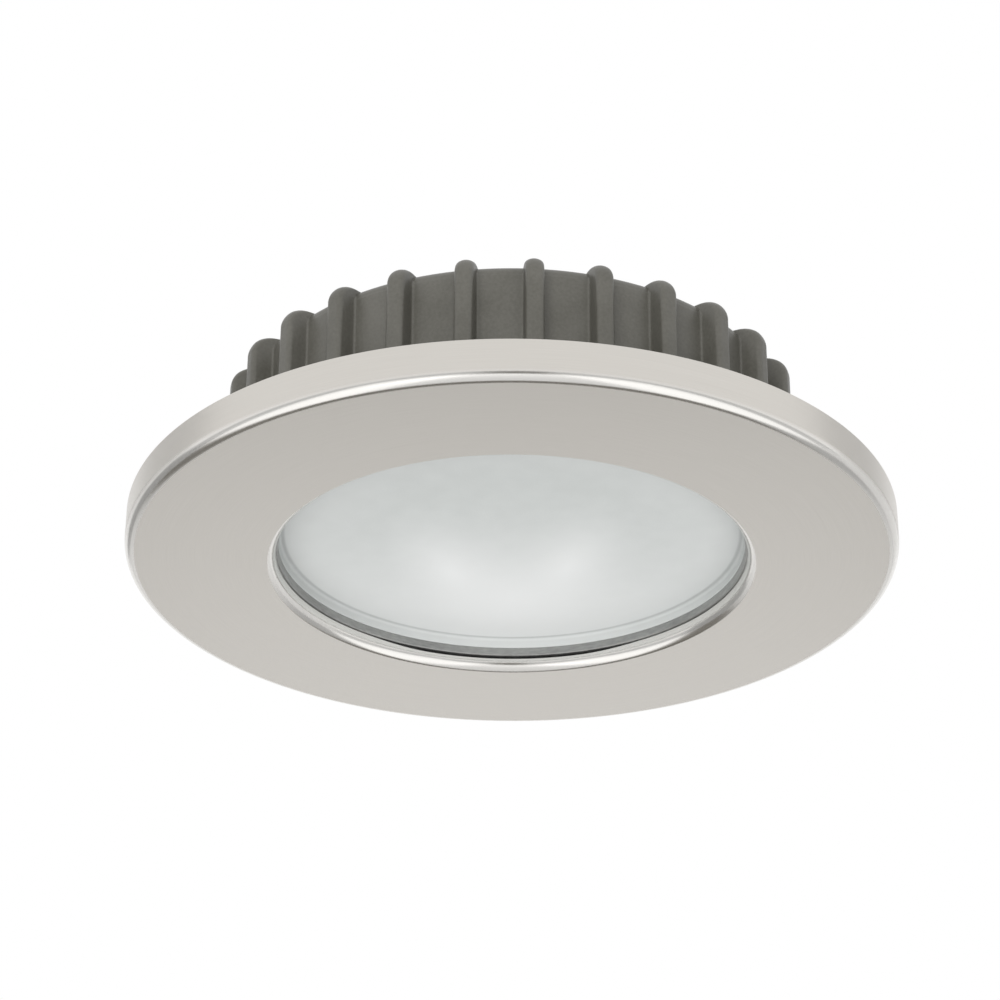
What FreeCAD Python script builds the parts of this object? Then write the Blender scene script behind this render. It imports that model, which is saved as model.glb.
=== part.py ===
"""Recessed soffit downlight: stainless pull-off rim, frosted lens, ribbed die-cast housing, driver and gland.

Millimetres, +Z up. The origin lies on the light's axis, in the soffit's surface: the housing stands up
through the hole in the soffit, and the rim hangs below it.
"""
import FreeCAD, Part
import math
import os

import Sketcher
from FreeCAD import Placement, Rotation, Vector

# ---------------------------------------------------------------- driving dimensions

SIZES = [
    # rim, pressed from stainless sheet
    ("rim_depth", 5.9, "from the soffit down to the rim's face"),
    ("rim_sheet", 0.8, "sheet thickness of the rim"),
    ("rim_bend", 1.4, "radius of the outer bend, outside"),
    ("opening_radius", 35.2, "radius of the opening in the rim"),
    ("rim_width", 22.3, "from the opening out to the rim's outside"),
    ("lip_bend", 1.25, "radius of the bend at the opening, outside"),
    ("lip_rise", 1.9, "height of the lip round the opening"),
    # housing casting
    ("web_outset", 5.1, "the housing's wall stands this far outside the opening"),
    ("housing_rise", 23.0, "from the soffit up to the housing's top"),
    ("top_edge_round", 2.25, "round between wall and top"),
    ("top_wall", 2.5, "thickness of the top"),
    ("rib_count", 27, "ribs round the wall"),
    ("rib_depth", 3.3, "how far the ribs' crests stand out of the wall"),
    ("rib_width", 2.7, "width of a rib"),
    ("rib_root", 0.6, "how deep a rib's foot is sunk in the wall"),
    ("rib_crest_flat", 1.2, "flat left between the two rounded edges of a rib"),
    ("rib_corner", 3.1, "round at a rib's top outer corner"),
    ("rib_turn", 3.85, "turn of the first rib from the front, degrees"),
    ("chamber_wall", 4.0, "wall round the optical chamber"),
    ("driver_space", 11.0, "from the ledge that the spreader is screwed to up to the ceiling"),
    ("ledge_width", 2.0, "width of that ledge"),
    ("boss_radius", 3.4, "radius of the screw bosses beside the driver"),
    ("boss_inset", 4.8, "the bosses' middles lie this far inside the chamber's wall"),
    # flange of the casting
    ("gasket_thickness", 1.2, "flange gasket, squeezed"),
    ("flange_thickness", 2.6, "mounting flange"),
    ("rim_side_gap", 0.8, "between the flange's edge and the rim's wall"),
    ("rim_seat_gap", 0.3, "between the flange's front rib and the rim's face"),
    ("seat_rib_width", 1.9, "width of the rib that backs the rim's face"),
    ("collar_margin", 0.8, "the collar in the soffit's hole stands this far outside the ribs"),
    ("collar_gap", 0.1, "the collar's top stays this far below the soffit line"),
    ("mount_inset", 0.65, "the mounting holes lie this far inside the middle of the flange's width"),
    ("mount_hole", 2.2, "radius of a mounting hole"),
    ("mount_sink", 4.2, "radius of its countersink"),
    ("mount_sink_depth", 2.0, "depth of its countersink"),
    ("mount_count", 4, "mounting holes"),
    # gasket
    ("gasket_inset", 2.9, "the gasket's edge lies inside the flange's edge"),
    ("gasket_collar_gap", 0.4, "between the gasket and the collar"),
    ("gasket_hole_gap", 0.4, "the gasket's holes are this much larger in radius"),
    # grip springs
    ("clip_count", 4, "grip springs"),
    ("clip_width", 8.0, "width of a grip spring"),
    ("clip_strip", 0.4, "thickness of its strip"),
    ("clip_grip_gap", 0.3, "between the spring's bow and the rim's wall"),
    ("clip_bow", 1.7, "free space behind the bow"),
    ("clip_front_leg", 3.4, "length of the leg on the flange's front"),
    ("clip_back_leg", 1.0, "length of the hook behind the flange"),
    ("clip_corner", 1.5, "outer radius of the bow's corners"),
    ("notch_side_gap", 0.7, "between a spring and the side of its notch"),
    # retaining ring and its screws
    ("ring_step", 0.3, "the retaining ring's bore stands this far inside the rim's opening"),
    ("ring_thickness", 1.3, "retaining ring"),
    ("ring_side_gap", 0.2, "between the ring and its recess"),
    ("ring_screw_length", 3.2, "length of a ring screw"),
    ("ring_screw_hole_depth", 2.0, "depth of its tapped hole"),
    # lens and its seal
    ("lens_setback", 3.6, "from the rim's face up to the lens's front edge"),
    ("lens_flange", 3.6, "width of the lens's flange behind the retaining ring"),
    ("lens_wall", 1.2, "thickness of the lens"),
    ("lens_dish", 1.6, "depth of the dish in the lens"),
    ("lens_side_gap", 0.3, "between the lens's flange and the housing"),
    ("seal_thickness", 1.5, "lens seal, squeezed"),
    ("seal_width", 2.1, "width of the lens seal"),
    ("seal_inset", 0.2, "between the seal and the chamber's bore"),
    # light engine
    ("spreader_thickness", 2.0, "heat spreader"),
    ("spreader_side_gap", 0.3, "between the spreader and the chamber's wall"),
    ("pad_thickness", 0.5, "thermal pad"),
    ("pad_inset", 1.5, "the pad's edge lies inside the board's edge"),
    ("led_board_inset", 8.8, "the LED board's edge lies inside the chamber's wall"),
    ("board_thickness", 1.6, "both circuit boards"),
    ("emitter_side", 3.5, "side of an LED package"),
    ("emitter_height", 0.7, "height of an LED package"),
    ("emitter_spot", 1.4, "radius of the clear spot on an LED package"),
    ("emitter_spot_rise", 0.2, "how far it stands proud"),
    ("emitter_circle", 12.0, "distance of the outer LEDs from the axis"),
    ("reflector_floor_hole", 19.0, "opening in the reflector's floor"),
    ("reflector_board_inset", 0.5, "the reflector's floor ends this far inside the LED board's edge"),
    ("reflector_wall", 1.0, "thickness of the reflector"),
    ("reflector_mouth_inset", 1.0, "the reflector's mouth lies inside the retaining ring's bore"),
    ("reflector_lens_gap", 0.3, "between the reflector and the lens"),
    # pan-head and countersunk screws
    ("small_thread", 1.25, "thread radius of the small screws"),
    ("small_head", 2.2, "head radius of the small screws"),
    ("small_head_height", 1.3, "head height of the small screws"),
    ("large_thread", 1.5, "thread radius of the spreader's screws"),
    ("large_head", 2.7, "head radius of the spreader's screws"),
    ("large_head_height", 2.0, "head height of the spreader's screws"),
    ("thread_play", 0.03, "radial play of a screw in its tapped hole"),
    ("shank_play", 0.15, "radial play of a screw in a clearance hole"),
    ("drive_radius", 0.9, "radius of the socket in a screw's head"),
    ("drive_depth", 0.7, "depth of that socket"),
    ("led_screw_circle", 23.0, "distance of the LED board's screws from the axis"),
    ("spreader_screw_length", 7.5, "length of a spreader screw"),
    ("boss_hole_depth", 6.5, "depth of the tapped hole in a boss"),
    # driver
    ("driver_board_gap", 1.1, "between the driver board's edge and the bosses"),
    ("standoff_height", 3.0, "height of the spacers under the driver board"),
    ("standoff_radius", 2.5, "radius of a spacer"),
    ("standoff_circle", 22.0, "distance of the spacers from the axis"),
    ("standoff_stub", 1.5, "length of the stub pressed into the spreader"),
    ("standoff_bore_depth", 2.4, "depth of a spacer's tapped bore"),
    ("driver_screw_length", 3.6, "length of a driver board screw"),
    ("inductor_left", 14.5, "distance of the inductor's middle from the axis, to the left"),
    ("inductor_front", 0.5, "and towards the front"),
    ("inductor_corner", 1.2, "its corner radius"),
    ("inductor_side", 8.0, "side of the inductor"),
    ("inductor_height", 4.5, "height of the inductor"),
    ("capacitor_radius", 2.5, "radius of a capacitor"),
    ("capacitor_length", 11.0, "length of a capacitor"),
    ("capacitor_right", 8.0, "distance of the capacitors' near ends from the axis, to the right"),
    ("capacitor_front", 3.0, "distance of the first capacitor's axis from the middle, to the front"),
    ("capacitor_pitch", 5.6, "between the two capacitors' axes"),
    ("solder_gap", 0.05, "between a component and its board"),
    ("chip_length", 5.0, "controller chip"),
    ("chip_width", 4.0, "controller chip"),
    ("chip_height", 1.5, "controller chip"),
    ("chip_front", 5.0, "distance of the chip's middle from the axis, to the front"),
    ("diode_length", 4.3, "diode"),
    ("diode_width", 2.6, "diode"),
    ("diode_height", 2.1, "diode"),
    ("diode_pitch", 3.4, "between two diodes"),
    ("diode_left", 6.5, "distance of the diodes' near ends from the axis, to the left"),
    ("diode_first", -8.6, "distance of the first diode's near side behind the axis"),
    ("terminal_length", 10.0, "supply terminal, along its two poles"),
    ("terminal_width", 8.0, "supply terminal, front to back"),
    ("terminal_height", 5.8, "supply terminal"),
    ("terminal_pitch", 5.0, "between its poles"),
    ("terminal_right", 16.5, "distance of the terminal's middle from the axis, to the right"),
    ("terminal_back", 7.5, "and to the back"),
    ("terminal_hole_depth", 2.8, "depth of a screw hole in the terminal"),
    ("terminal_screw", 1.3, "radius of a wire screw"),
    ("terminal_screw_length", 2.4, "length of a wire screw"),
    ("wire_entry", 1.2, "radius of a wire entry"),
    ("link_pin", 0.5, "radius of a link pin"),
    ("link_pitch", 4.0, "between the link pins"),
    ("link_back", 17.0, "distance of the link pins behind the axis"),
    ("link_stub", 0.8, "how far a link pin stands out of each board"),
    ("bush_radius", 4.2, "insulating bush"),
    ("bush_rise", 1.5, "how far the bush stands above the spreader"),
    ("insulator_thickness", 0.3, "insulating sheet"),
    ("insulator_nut_gap", 0.6, "between the sheet and the lock nut's corners"),
    # cable gland
    ("gland_back", 14.0, "distance of the gland behind the axis"),
    ("gland_thread", 6.0, "radius of the gland's lower thread"),
    ("gland_play", 0.1, "radial play of the gland in the housing"),
    ("gland_flat", 8.5, "half the width across the gland's flats"),
    ("gland_hex_height", 4.5, "height of the gland's hexagon"),
    ("gland_neck", 5.6, "radius of the gland's upper thread"),
    ("gland_neck_height", 8.0, "height of the upper thread"),
    ("gland_bore", 4.4, "bore of the gland round the rubber bush"),
    ("gland_shoulder", 0.6, "shoulder under the rubber bush"),
    ("gland_tail", 4.2, "how far the lower thread stands into the housing"),
    ("o_ring_thickness", 1.2, "gland seal ring, squeezed"),
    ("o_ring_width", 2.0, "width of that ring"),
    ("o_ring_round", 0.5, "round of its outer edges"),
    ("lock_nut_height", 3.0, "lock nut"),
    ("lock_nut_flat", 8.0, "half the width across the lock nut's flats"),
    ("cable_radius", 2.75, "radius of the cable that the gland takes"),
    ("gland_seal_height", 7.0, "rubber bush in the gland"),
    ("gland_seal_play", 0.1, "between the bush and the gland's bore"),
    ("dome_rise", 12.0, "height of the dome nut"),
    ("dome_hex_height", 5.5, "height of its hexagon"),
    ("dome_mouth", 3.6, "radius of the hole in the dome"),
    ("dome_gap", 0.3, "between the dome nut and the gland's hexagon"),
    ("dome_round", 3.6, "round of the dome's shoulder"),
]

doc = FreeCAD.newDocument("soffit_downlight")
sheet = doc.addObject("Spreadsheet::Sheet", "sizes")


class Size:
    """A length with its value now and the formula that ties it to the sheet."""

    def __init__(self, value, formula):
        self.value = float(value)
        self.formula = formula

    def __add__(self, other):
        other = as_size(other)
        return Size(self.value + other.value, f"({self.formula} + {other.formula})")

    def __radd__(self, other):
        return as_size(other) + self

    def __sub__(self, other):
        other = as_size(other)
        return Size(self.value - other.value, f"({self.formula} - {other.formula})")

    def __rsub__(self, other):
        return as_size(other) - self

    def __mul__(self, other):
        other = as_size(other)
        return Size(self.value * other.value, f"({self.formula} * {other.formula})")

    def __rmul__(self, other):
        return as_size(other) * self

    def __truediv__(self, other):
        other = as_size(other)
        return Size(self.value / other.value, f"({self.formula} / {other.formula})")

    def __neg__(self):
        return Size(-self.value, f"(0 - {self.formula})")


def as_size(number):
    """A plain number as a Size."""
    if isinstance(number, Size):
        return number
    return Size(number, f"{number:.12f}" if number >= 0 else f"(0 - {-number:.12f})")


def fill_sheet():
    """Write every driving dimension into its own named cell, and return them by name."""
    sizes = {}
    for row, (name, value, words) in enumerate(SIZES, start=1):
        sheet.set(f"A{row}", words)
        sheet.set(f"B{row}", str(value))
        sheet.setAlias(f"B{row}", name)
        sizes[name] = Size(value, f"sizes.{name}")
    doc.recompute()
    return sizes


class Named:
    """The sizes as plain names: d.rim_depth and so on."""

    def __init__(self, sizes):
        self.__dict__.update(sizes)


d = Named(fill_sheet())

# Heights and radii that several pieces share, worked out from the sheet.
RIM_RADIUS = d.opening_radius + d.rim_width
WEB_RADIUS = d.opening_radius + d.web_outset
RIB_REACH = WEB_RADIUS + d.rib_depth
CHAMBER_RADIUS = WEB_RADIUS - d.chamber_wall
COLLAR_RADIUS = RIB_REACH + d.collar_margin
BOSS_CIRCLE = CHAMBER_RADIUS - d.boss_inset
RING_BORE = d.opening_radius - d.ring_step
RING_RADIUS = COLLAR_RADIUS - d.ring_side_gap
LENS_RADIUS = RING_BORE + d.lens_flange
RING_SCREW_CIRCLE = (LENS_RADIUS + RING_RADIUS) / 2
LED_BOARD_RADIUS = CHAMBER_RADIUS - d.led_board_inset
REFLECTOR_FLOOR_EDGE = LED_BOARD_RADIUS - d.reflector_board_inset
REFLECTOR_MOUTH = RING_BORE - d.reflector_mouth_inset
DRIVER_BOARD_RADIUS = BOSS_CIRCLE - d.boss_radius - d.driver_board_gap
RIM_FACE = -d.rim_depth
RIM_INSIDE = RIM_FACE + d.rim_sheet
FLANGE_BACK = -d.gasket_thickness
FLANGE_FRONT = FLANGE_BACK - d.flange_thickness
FLANGE_RADIUS = RIM_RADIUS - d.rim_sheet - d.rim_side_gap
MOUNT_CIRCLE = (COLLAR_RADIUS + FLANGE_RADIUS) / 2 - d.mount_inset
LENS_FRONT = RIM_FACE + d.lens_setback
LENS_FACE = LENS_FRONT + d.lens_dish
LENS_BACK = LENS_FACE + d.lens_wall
SEAT_HEIGHT = LENS_FRONT + d.lens_wall + d.seal_thickness
RING_FRONT = LENS_FRONT - d.ring_thickness
CEILING = d.housing_rise - d.top_wall
LEDGE_HEIGHT = CEILING - d.driver_space
SPREADER_FRONT = LEDGE_HEIGHT - d.spreader_thickness
PAD_FRONT = SPREADER_FRONT - d.pad_thickness
LED_BOARD_FRONT = PAD_FRONT - d.board_thickness
DRIVER_BACK = LEDGE_HEIGHT + d.standoff_height
DRIVER_TOP = DRIVER_BACK + d.board_thickness
GLAND_HEX_BASE = d.housing_rise + d.o_ring_thickness
GLAND_HEX_TOP = GLAND_HEX_BASE + d.gland_hex_height
BUSH_TOP = GLAND_HEX_TOP + d.gland_neck_height + d.dome_gap
REFLECTOR_FLOOR = LED_BOARD_FRONT - d.reflector_wall
CLIP_INSIDE = RIM_RADIUS - d.rim_sheet - d.clip_grip_gap - d.clip_strip

# Azimuths, degrees round the axis from +X: the front of the light, and its screws, bosses and springs.
FRONT = 270
BOSS_TURN = 0
LED_SCREW_TURN = 90
STANDOFF_TURN = 60
CLIP_TURN = 45
RING_SCREW_TURN = 15

# Counts that more than one piece shares.
SCREW_COUNT = 3
RING_SCREW_COUNT = 6
EMITTER_COUNT = 8
DIODE_COUNT = 4
CAPACITOR_COUNT = 2

# From half the width across a hexagon's flats to its corner.
HEX_CORNER = 2 / math.sqrt(3)

# ---------------------------------------------------------------- sketch and body helpers


def origin_item(body, role):
    """One of the body's own origin planes or axes."""
    for item in body.Origin.OriginFeatures:
        if item.Role == role:
            return item
    raise ValueError(role)


def new_body(name):
    """A body whose name is the node's name. It may hold several like solids."""
    body = doc.addObject("PartDesign::Body", name)
    body.Label = name
    body.AllowCompound = True
    return body


def new_sketch(body, name, role, height=None, across=None, turn=0):
    """A sketch on an origin plane: lifted along its normal, moved across it, or turned in it by degrees."""
    sketch = body.newObject("Sketcher::SketchObject", f"{body.Name}_{name}")
    sketch.AttachmentSupport = [(origin_item(body, role), "")]
    sketch.MapMode = "FlatFace"
    sketch.AttachmentOffset = Placement(Vector(0, 0, 0), Rotation(Vector(0, 0, 1), turn))
    if height is not None:
        sketch.setExpression(".AttachmentOffset.Base.z", as_size(height).formula)
    if across is not None:
        sketch.setExpression(".AttachmentOffset.Base.x", as_size(across[0]).formula)
        sketch.setExpression(".AttachmentOffset.Base.y", as_size(across[1]).formula)
    return sketch


def pin_point(sketch, geometry, place, point):
    """Hold one point of the sketch at sheet-driven coordinates."""
    for kind, axis, size in (("DistanceX", -2, point[0]), ("DistanceY", -1, point[1])):
        if abs(size.value) < 1e-9:
            sketch.addConstraint(Sketcher.Constraint("PointOnObject", geometry, place, axis))
            continue
        number = sketch.addConstraint(Sketcher.Constraint(kind, -1, 1, geometry, place, size.value))
        sketch.setExpression(f"Constraints[{number}]", size.formula)


def corner_arc(before, corner, after, radius):
    """Tangent arc that rounds a corner: its two ends, its centre, and whether it turns left."""
    back = (before - corner).normalize()
    ahead = (after - corner).normalize()
    half = back.getAngle(ahead) / 2
    first = corner + back * (radius / math.tan(half))
    last = corner + ahead * (radius / math.tan(half))
    centre = corner + (back + ahead).normalize() * (radius / math.sin(half))
    return first, last, centre, back.cross(ahead).z < 0


def outline(sketch, corners):
    """A closed outline. Each corner is (x, y), or (x, y, radius) where it is rounded by a tangent arc."""
    sizes = [tuple(as_size(number) for number in corner) for corner in corners]
    points = [Vector(size[0].value, size[1].value, 0) for size in sizes]
    count = len(points)
    rounds = {}
    for index, size in enumerate(sizes):
        if len(size) == 3:
            rounds[index] = corner_arc(points[index - 1], points[index], points[(index + 1) % count],
                                       size[2].value)
    lines = []
    for index in range(count):
        after = (index + 1) % count
        start = rounds[index][1] if index in rounds else points[index]
        end = rounds[after][0] if after in rounds else points[after]
        lines.append(sketch.addGeometry(Part.LineSegment(start, end), False))
    for index, size in enumerate(sizes):
        if index in rounds:
            round_corner(sketch, lines[index - 1], lines[index], points[index], size, rounds[index])
        else:
            sketch.addConstraint(Sketcher.Constraint("Coincident", lines[index - 1], 2, lines[index], 1))
            pin_point(sketch, lines[index], 1, size)


def round_corner(sketch, before, after, corner, size, arc):
    """Join two lines by a tangent arc, and hold their crossing at the corner's coordinates."""
    first, last, centre, left = arc
    circle = Part.Circle(centre, Vector(0, 0, 1), size[2].value)
    ends = (first, last) if left else (last, first)
    angles = [math.atan2(end.y - centre.y, end.x - centre.x) for end in ends]
    bend = sketch.addGeometry(Part.ArcOfCircle(circle, angles[0], angles[1]), False)
    near, far = (1, 2) if left else (2, 1)
    cross = sketch.addGeometry(Part.Point(corner), True)
    pin_point(sketch, cross, 1, size)
    sketch.addConstraint(Sketcher.Constraint("PointOnObject", cross, 1, before))
    sketch.addConstraint(Sketcher.Constraint("PointOnObject", cross, 1, after))
    sketch.addConstraint(Sketcher.Constraint("Tangent", before, 2, bend, near))
    sketch.addConstraint(Sketcher.Constraint("Tangent", bend, far, after, 1))
    number = sketch.addConstraint(Sketcher.Constraint("Radius", bend, size[2].value))
    sketch.setExpression(f"Constraints[{number}]", size[2].formula)


def circle(sketch, x, y, radius):
    """A full circle about (x, y)."""
    centre = (as_size(x), as_size(y))
    radius = as_size(radius)
    middle = Vector(centre[0].value, centre[1].value, 0)
    number = sketch.addGeometry(Part.Circle(middle, Vector(0, 0, 1), radius.value), False)
    pin_point(sketch, number, 3, centre)
    bound = sketch.addConstraint(Sketcher.Constraint("Radius", number, radius.value))
    sketch.setExpression(f"Constraints[{bound}]", radius.formula)


def rectangle(sketch, low, high):
    """A rectangle between two opposite corners."""
    outline(sketch, [(low[0], low[1]), (high[0], low[1]), (high[0], high[1]), (low[0], high[1])])


def revolve(body, name, corners, across=0, groove=False):
    """Turn a profile of (radius, height) corners about a vertical axis that stands at x = across."""
    sketch = new_sketch(body, f"{name}_profile", "XZ_Plane", across=(across, 0))
    outline(sketch, corners)
    kind = "PartDesign::Groove" if groove else "PartDesign::Revolution"
    feature = body.newObject(kind, f"{body.Name}_{name}")
    feature.Profile = sketch
    feature.ReferenceAxis = (sketch, ["V_Axis"])
    feature.Angle = 360
    return feature


def extrude(body, name, sketch, length, cut=False, both_ways=False):
    """Pad a sketch upwards, or cut a pocket upwards from it."""
    feature = body.newObject("PartDesign::Pocket" if cut else "PartDesign::Pad", f"{body.Name}_{name}")
    feature.Profile = sketch
    feature.Type = 0
    feature.setExpression("Length", as_size(length).formula)
    feature.Midplane = both_ways
    feature.Reversed = cut and not both_ways
    return feature


def round_pattern(body, features, count):
    """Repeat features evenly round the light's axis."""
    doc.recompute()
    pattern = body.newObject("PartDesign::PolarPattern", f"{features[-1].Name}_pattern")
    pattern.Originals = features
    pattern.Axis = (origin_item(body, "Z_Axis"), [""])
    pattern.Angle = 360
    pattern.setExpression("Occurrences", as_size(count).formula)
    body.Tip = pattern
    doc.recompute()
    return pattern


def turn_body(body, degrees):
    """Turn the whole body about the light's axis."""
    body.Placement = Placement(Vector(0, 0, 0), Rotation(Vector(0, 0, 1), degrees))


def around(radius, degrees):
    """The place at this radius and azimuth."""
    turn = math.radians(degrees)
    return as_size(radius) * math.cos(turn), as_size(radius) * math.sin(turn)


def places_around(radius, count, first=0):
    """Evenly spaced places round the axis."""
    return [around(radius, first + 360 * step / count) for step in range(count)]


def drill(body, name, places, radius, bottom, length):
    """Round holes at the given places, from the height bottom up over length."""
    sketch = new_sketch(body, f"{name}_outline", "XY_Plane", height=bottom)
    for x, y in places:
        circle(sketch, x, y, radius)
    return extrude(body, name, sketch, length, cut=True)


def disc(name, radius, bottom, thickness):
    """A body that is a plain disc on the light's axis."""
    body = new_body(name)
    sketch = new_sketch(body, "outline", "XY_Plane", height=bottom)
    circle(sketch, 0, 0, radius)
    extrude(body, "plate", sketch, thickness)
    return body


def screws(name, radius, count, turn, profile, socket_height):
    """Like screws round the axis: one turned profile of (radius, height) corners, with a drive socket."""
    body = new_body(name)
    shank = revolve(body, "screw", profile, across=radius)
    sketch = new_sketch(body, "socket_outline", "XY_Plane", height=socket_height)
    corners = [around(d.drive_radius, 60 * step) for step in range(6)]
    outline(sketch, [(radius + x, y) for x, y in corners])
    socket = extrude(body, "socket", sketch, d.drive_depth, cut=True)
    round_pattern(body, [shank, socket], count)
    turn_body(body, turn)
    return body


def pan_head(head, height, thread, seat, length):
    """Profile of a pan-head screw: its head hangs below its seat, and its thread stands up from it."""
    return [
        (0, seat - height),
        (head, seat - height, height / 2),
        (head, seat),
        (thread, seat),
        (thread, seat + length),
        (0, seat + length),
    ]


# ---------------------------------------------------------------- rim, casting and what fastens them


def trim_rim():
    """Pressed stainless rim: wall, face, and the lip that is turned up round the opening."""
    body = new_body("trim_rim")
    lip_top = RIM_FACE + d.lip_rise
    lip_back = d.opening_radius + d.rim_sheet
    wall_inside = RIM_RADIUS - d.rim_sheet
    revolve(body, "pressing", [
        (RIM_RADIUS, 0),
        (RIM_RADIUS, RIM_FACE, d.rim_bend),
        (d.opening_radius, RIM_FACE, d.lip_bend),
        (d.opening_radius, lip_top),
        (lip_back, lip_top),
        (lip_back, RIM_INSIDE, d.lip_bend - d.rim_sheet),
        (wall_inside, RIM_INSIDE, d.rim_bend - d.rim_sheet),
        (wall_inside, 0),
    ])
    return body


def heat_sink_housing():
    """Die-cast cup with rounded ribs, a top, screw bosses inside, and the mounting flange."""
    body = new_body("heat_sink_housing")
    housing_ribs(body)
    housing_cup(body)
    housing_bosses(body)
    housing_flange_holes(body)
    housing_clip_notches(body)
    gland_place = [(as_size(0), d.gland_back)]
    drill(body, "gland_hole", gland_place, d.gland_thread + d.gland_play, CEILING, d.top_wall)
    return body


def housing_ribs(body):
    """Ribs: plates that stand out of the wall, with both long edges rounded, repeated round the axis."""
    sketch = new_sketch(body, "rib_outline", "XZ_Plane")
    azimuth = d.rib_turn + FRONT
    sketch.AttachmentOffset = Placement(Vector(0, 0, 0), Rotation(Vector(0, 1, 0), azimuth.value))
    sketch.setExpression(".AttachmentOffset.Rotation.Angle", azimuth.formula)
    outline(sketch, [
        (WEB_RADIUS - d.rib_root, FLANGE_BACK),
        (RIB_REACH, FLANGE_BACK),
        (RIB_REACH, d.housing_rise, d.rib_corner),
        (WEB_RADIUS - d.top_edge_round, d.housing_rise),
    ])
    rib = extrude(body, "rib", sketch, d.rib_width, both_ways=True)
    doc.recompute()
    crest = body.newObject("PartDesign::Fillet", f"{body.Name}_rib_crest")
    crest.Base = (rib, crest_edges(rib.Shape, sketch.Placement.inverse()))
    crest.setExpression("Radius", ((d.rib_width - d.rib_crest_flat) / 2).formula)
    doc.recompute()
    ring = body.newObject("PartDesign::PolarPattern", f"{body.Name}_rib_ring")
    ring.TransformMode = "Whole shape"
    ring.Axis = (origin_item(body, "Z_Axis"), [""])
    ring.Angle = 360
    ring.setExpression("Occurrences", d.rib_count.formula)
    body.Tip = ring
    doc.recompute()


def crest_edges(shape, into_plane):
    """The edges of a rib plate's two broad sides that follow its crest: outer line, corner and top."""
    names = []
    for number, edge in enumerate(shape.Edges, start=1):
        ends = [into_plane.multVec(edge.valueAt(edge.FirstParameter)),
                into_plane.multVec(edge.valueAt(edge.LastParameter))]
        halfway = (edge.FirstParameter + edge.LastParameter) / 2
        middle = into_plane.multVec(edge.valueAt(halfway))
        broad = abs(ends[0].z - ends[1].z) < 1e-6
        outer = middle.x > RIB_REACH.value - d.rib_corner.value
        top = middle.y > d.housing_rise.value - 1e-6
        foot = middle.y < FLANGE_BACK.value + 1e-6
        if broad and not foot and (outer or top):
            names.append(f"Edge{number}")
    return names


def housing_cup(body):
    """The turned shape of the casting: cup, ledge, lens seat, ring recess, flange and rim seat."""
    ledge_bore = CHAMBER_RADIUS - d.ledge_width
    seat_bore = LENS_RADIUS + d.lens_side_gap
    recess = RING_RADIUS + d.ring_side_gap
    rib_inside = FLANGE_RADIUS - d.seat_rib_width
    rib_front = RIM_INSIDE + d.rim_seat_gap
    revolve(body, "cup", [
        (0, CEILING),
        (ledge_bore, CEILING),
        (ledge_bore, LEDGE_HEIGHT),
        (CHAMBER_RADIUS, LEDGE_HEIGHT),
        (CHAMBER_RADIUS, SEAT_HEIGHT),
        (seat_bore, SEAT_HEIGHT),
        (seat_bore, LENS_FRONT),
        (recess, LENS_FRONT),
        (recess, FLANGE_FRONT),
        (rib_inside, FLANGE_FRONT),
        (rib_inside, rib_front),
        (FLANGE_RADIUS, rib_front),
        (FLANGE_RADIUS, FLANGE_BACK),
        (COLLAR_RADIUS, FLANGE_BACK),
        (COLLAR_RADIUS, -d.collar_gap),
        (WEB_RADIUS, -d.collar_gap),
        (WEB_RADIUS, d.housing_rise, d.top_edge_round),
        (0, d.housing_rise),
    ])


def housing_bosses(body):
    """Bosses from the ceiling down to the ledge, tapped for the spreader's screws."""
    places = places_around(BOSS_CIRCLE, SCREW_COUNT, BOSS_TURN)
    sketch = new_sketch(body, "boss_outline", "XY_Plane", height=LEDGE_HEIGHT)
    for x, y in places:
        circle(sketch, x, y, d.boss_radius)
    extrude(body, "bosses", sketch, CEILING - LEDGE_HEIGHT + d.top_wall / 2)
    drill(body, "boss_tapping", places, d.large_thread + d.thread_play, LEDGE_HEIGHT, d.boss_hole_depth)


def housing_flange_holes(body):
    """Countersunk mounting holes, and the tapped holes for the retaining ring's screws."""
    doc.recompute()
    hole = revolve(body, "mounting_hole", [
        (0, FLANGE_BACK),
        (0, FLANGE_FRONT),
        (d.mount_sink, FLANGE_FRONT),
        (d.mount_hole, FLANGE_FRONT + d.mount_sink_depth),
        (d.mount_hole, FLANGE_BACK),
    ], across=MOUNT_CIRCLE, groove=True)
    round_pattern(body, [hole], d.mount_count)
    places = places_around(RING_SCREW_CIRCLE, RING_SCREW_COUNT, RING_SCREW_TURN)
    drill(body, "ring_tapping", places, d.small_thread + d.thread_play, LENS_FRONT, d.ring_screw_hole_depth)


def housing_clip_notches(body):
    """Notches in the flange's edge behind the bows of the grip springs, and in the rib in front of them."""
    half = d.clip_width / 2 + d.notch_side_gap
    rib_inside = FLANGE_RADIUS - d.seat_rib_width
    edge_outline = new_sketch(body, "bow_notch_outline", "XY_Plane", height=FLANGE_FRONT, turn=CLIP_TURN)
    rectangle(edge_outline, (CLIP_INSIDE - d.clip_bow, -half), (RIM_RADIUS, half))
    edge = extrude(body, "bow_notch", edge_outline, d.flange_thickness, cut=True)
    front_outline = new_sketch(body, "leg_notch_outline", "XY_Plane", height=RIM_INSIDE, turn=CLIP_TURN)
    rectangle(front_outline, (rib_inside - d.notch_side_gap, -half), (RIM_RADIUS, half))
    front = extrude(body, "leg_notch", front_outline, FLANGE_FRONT - RIM_INSIDE, cut=True)
    round_pattern(body, [edge, front], d.clip_count)


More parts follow.
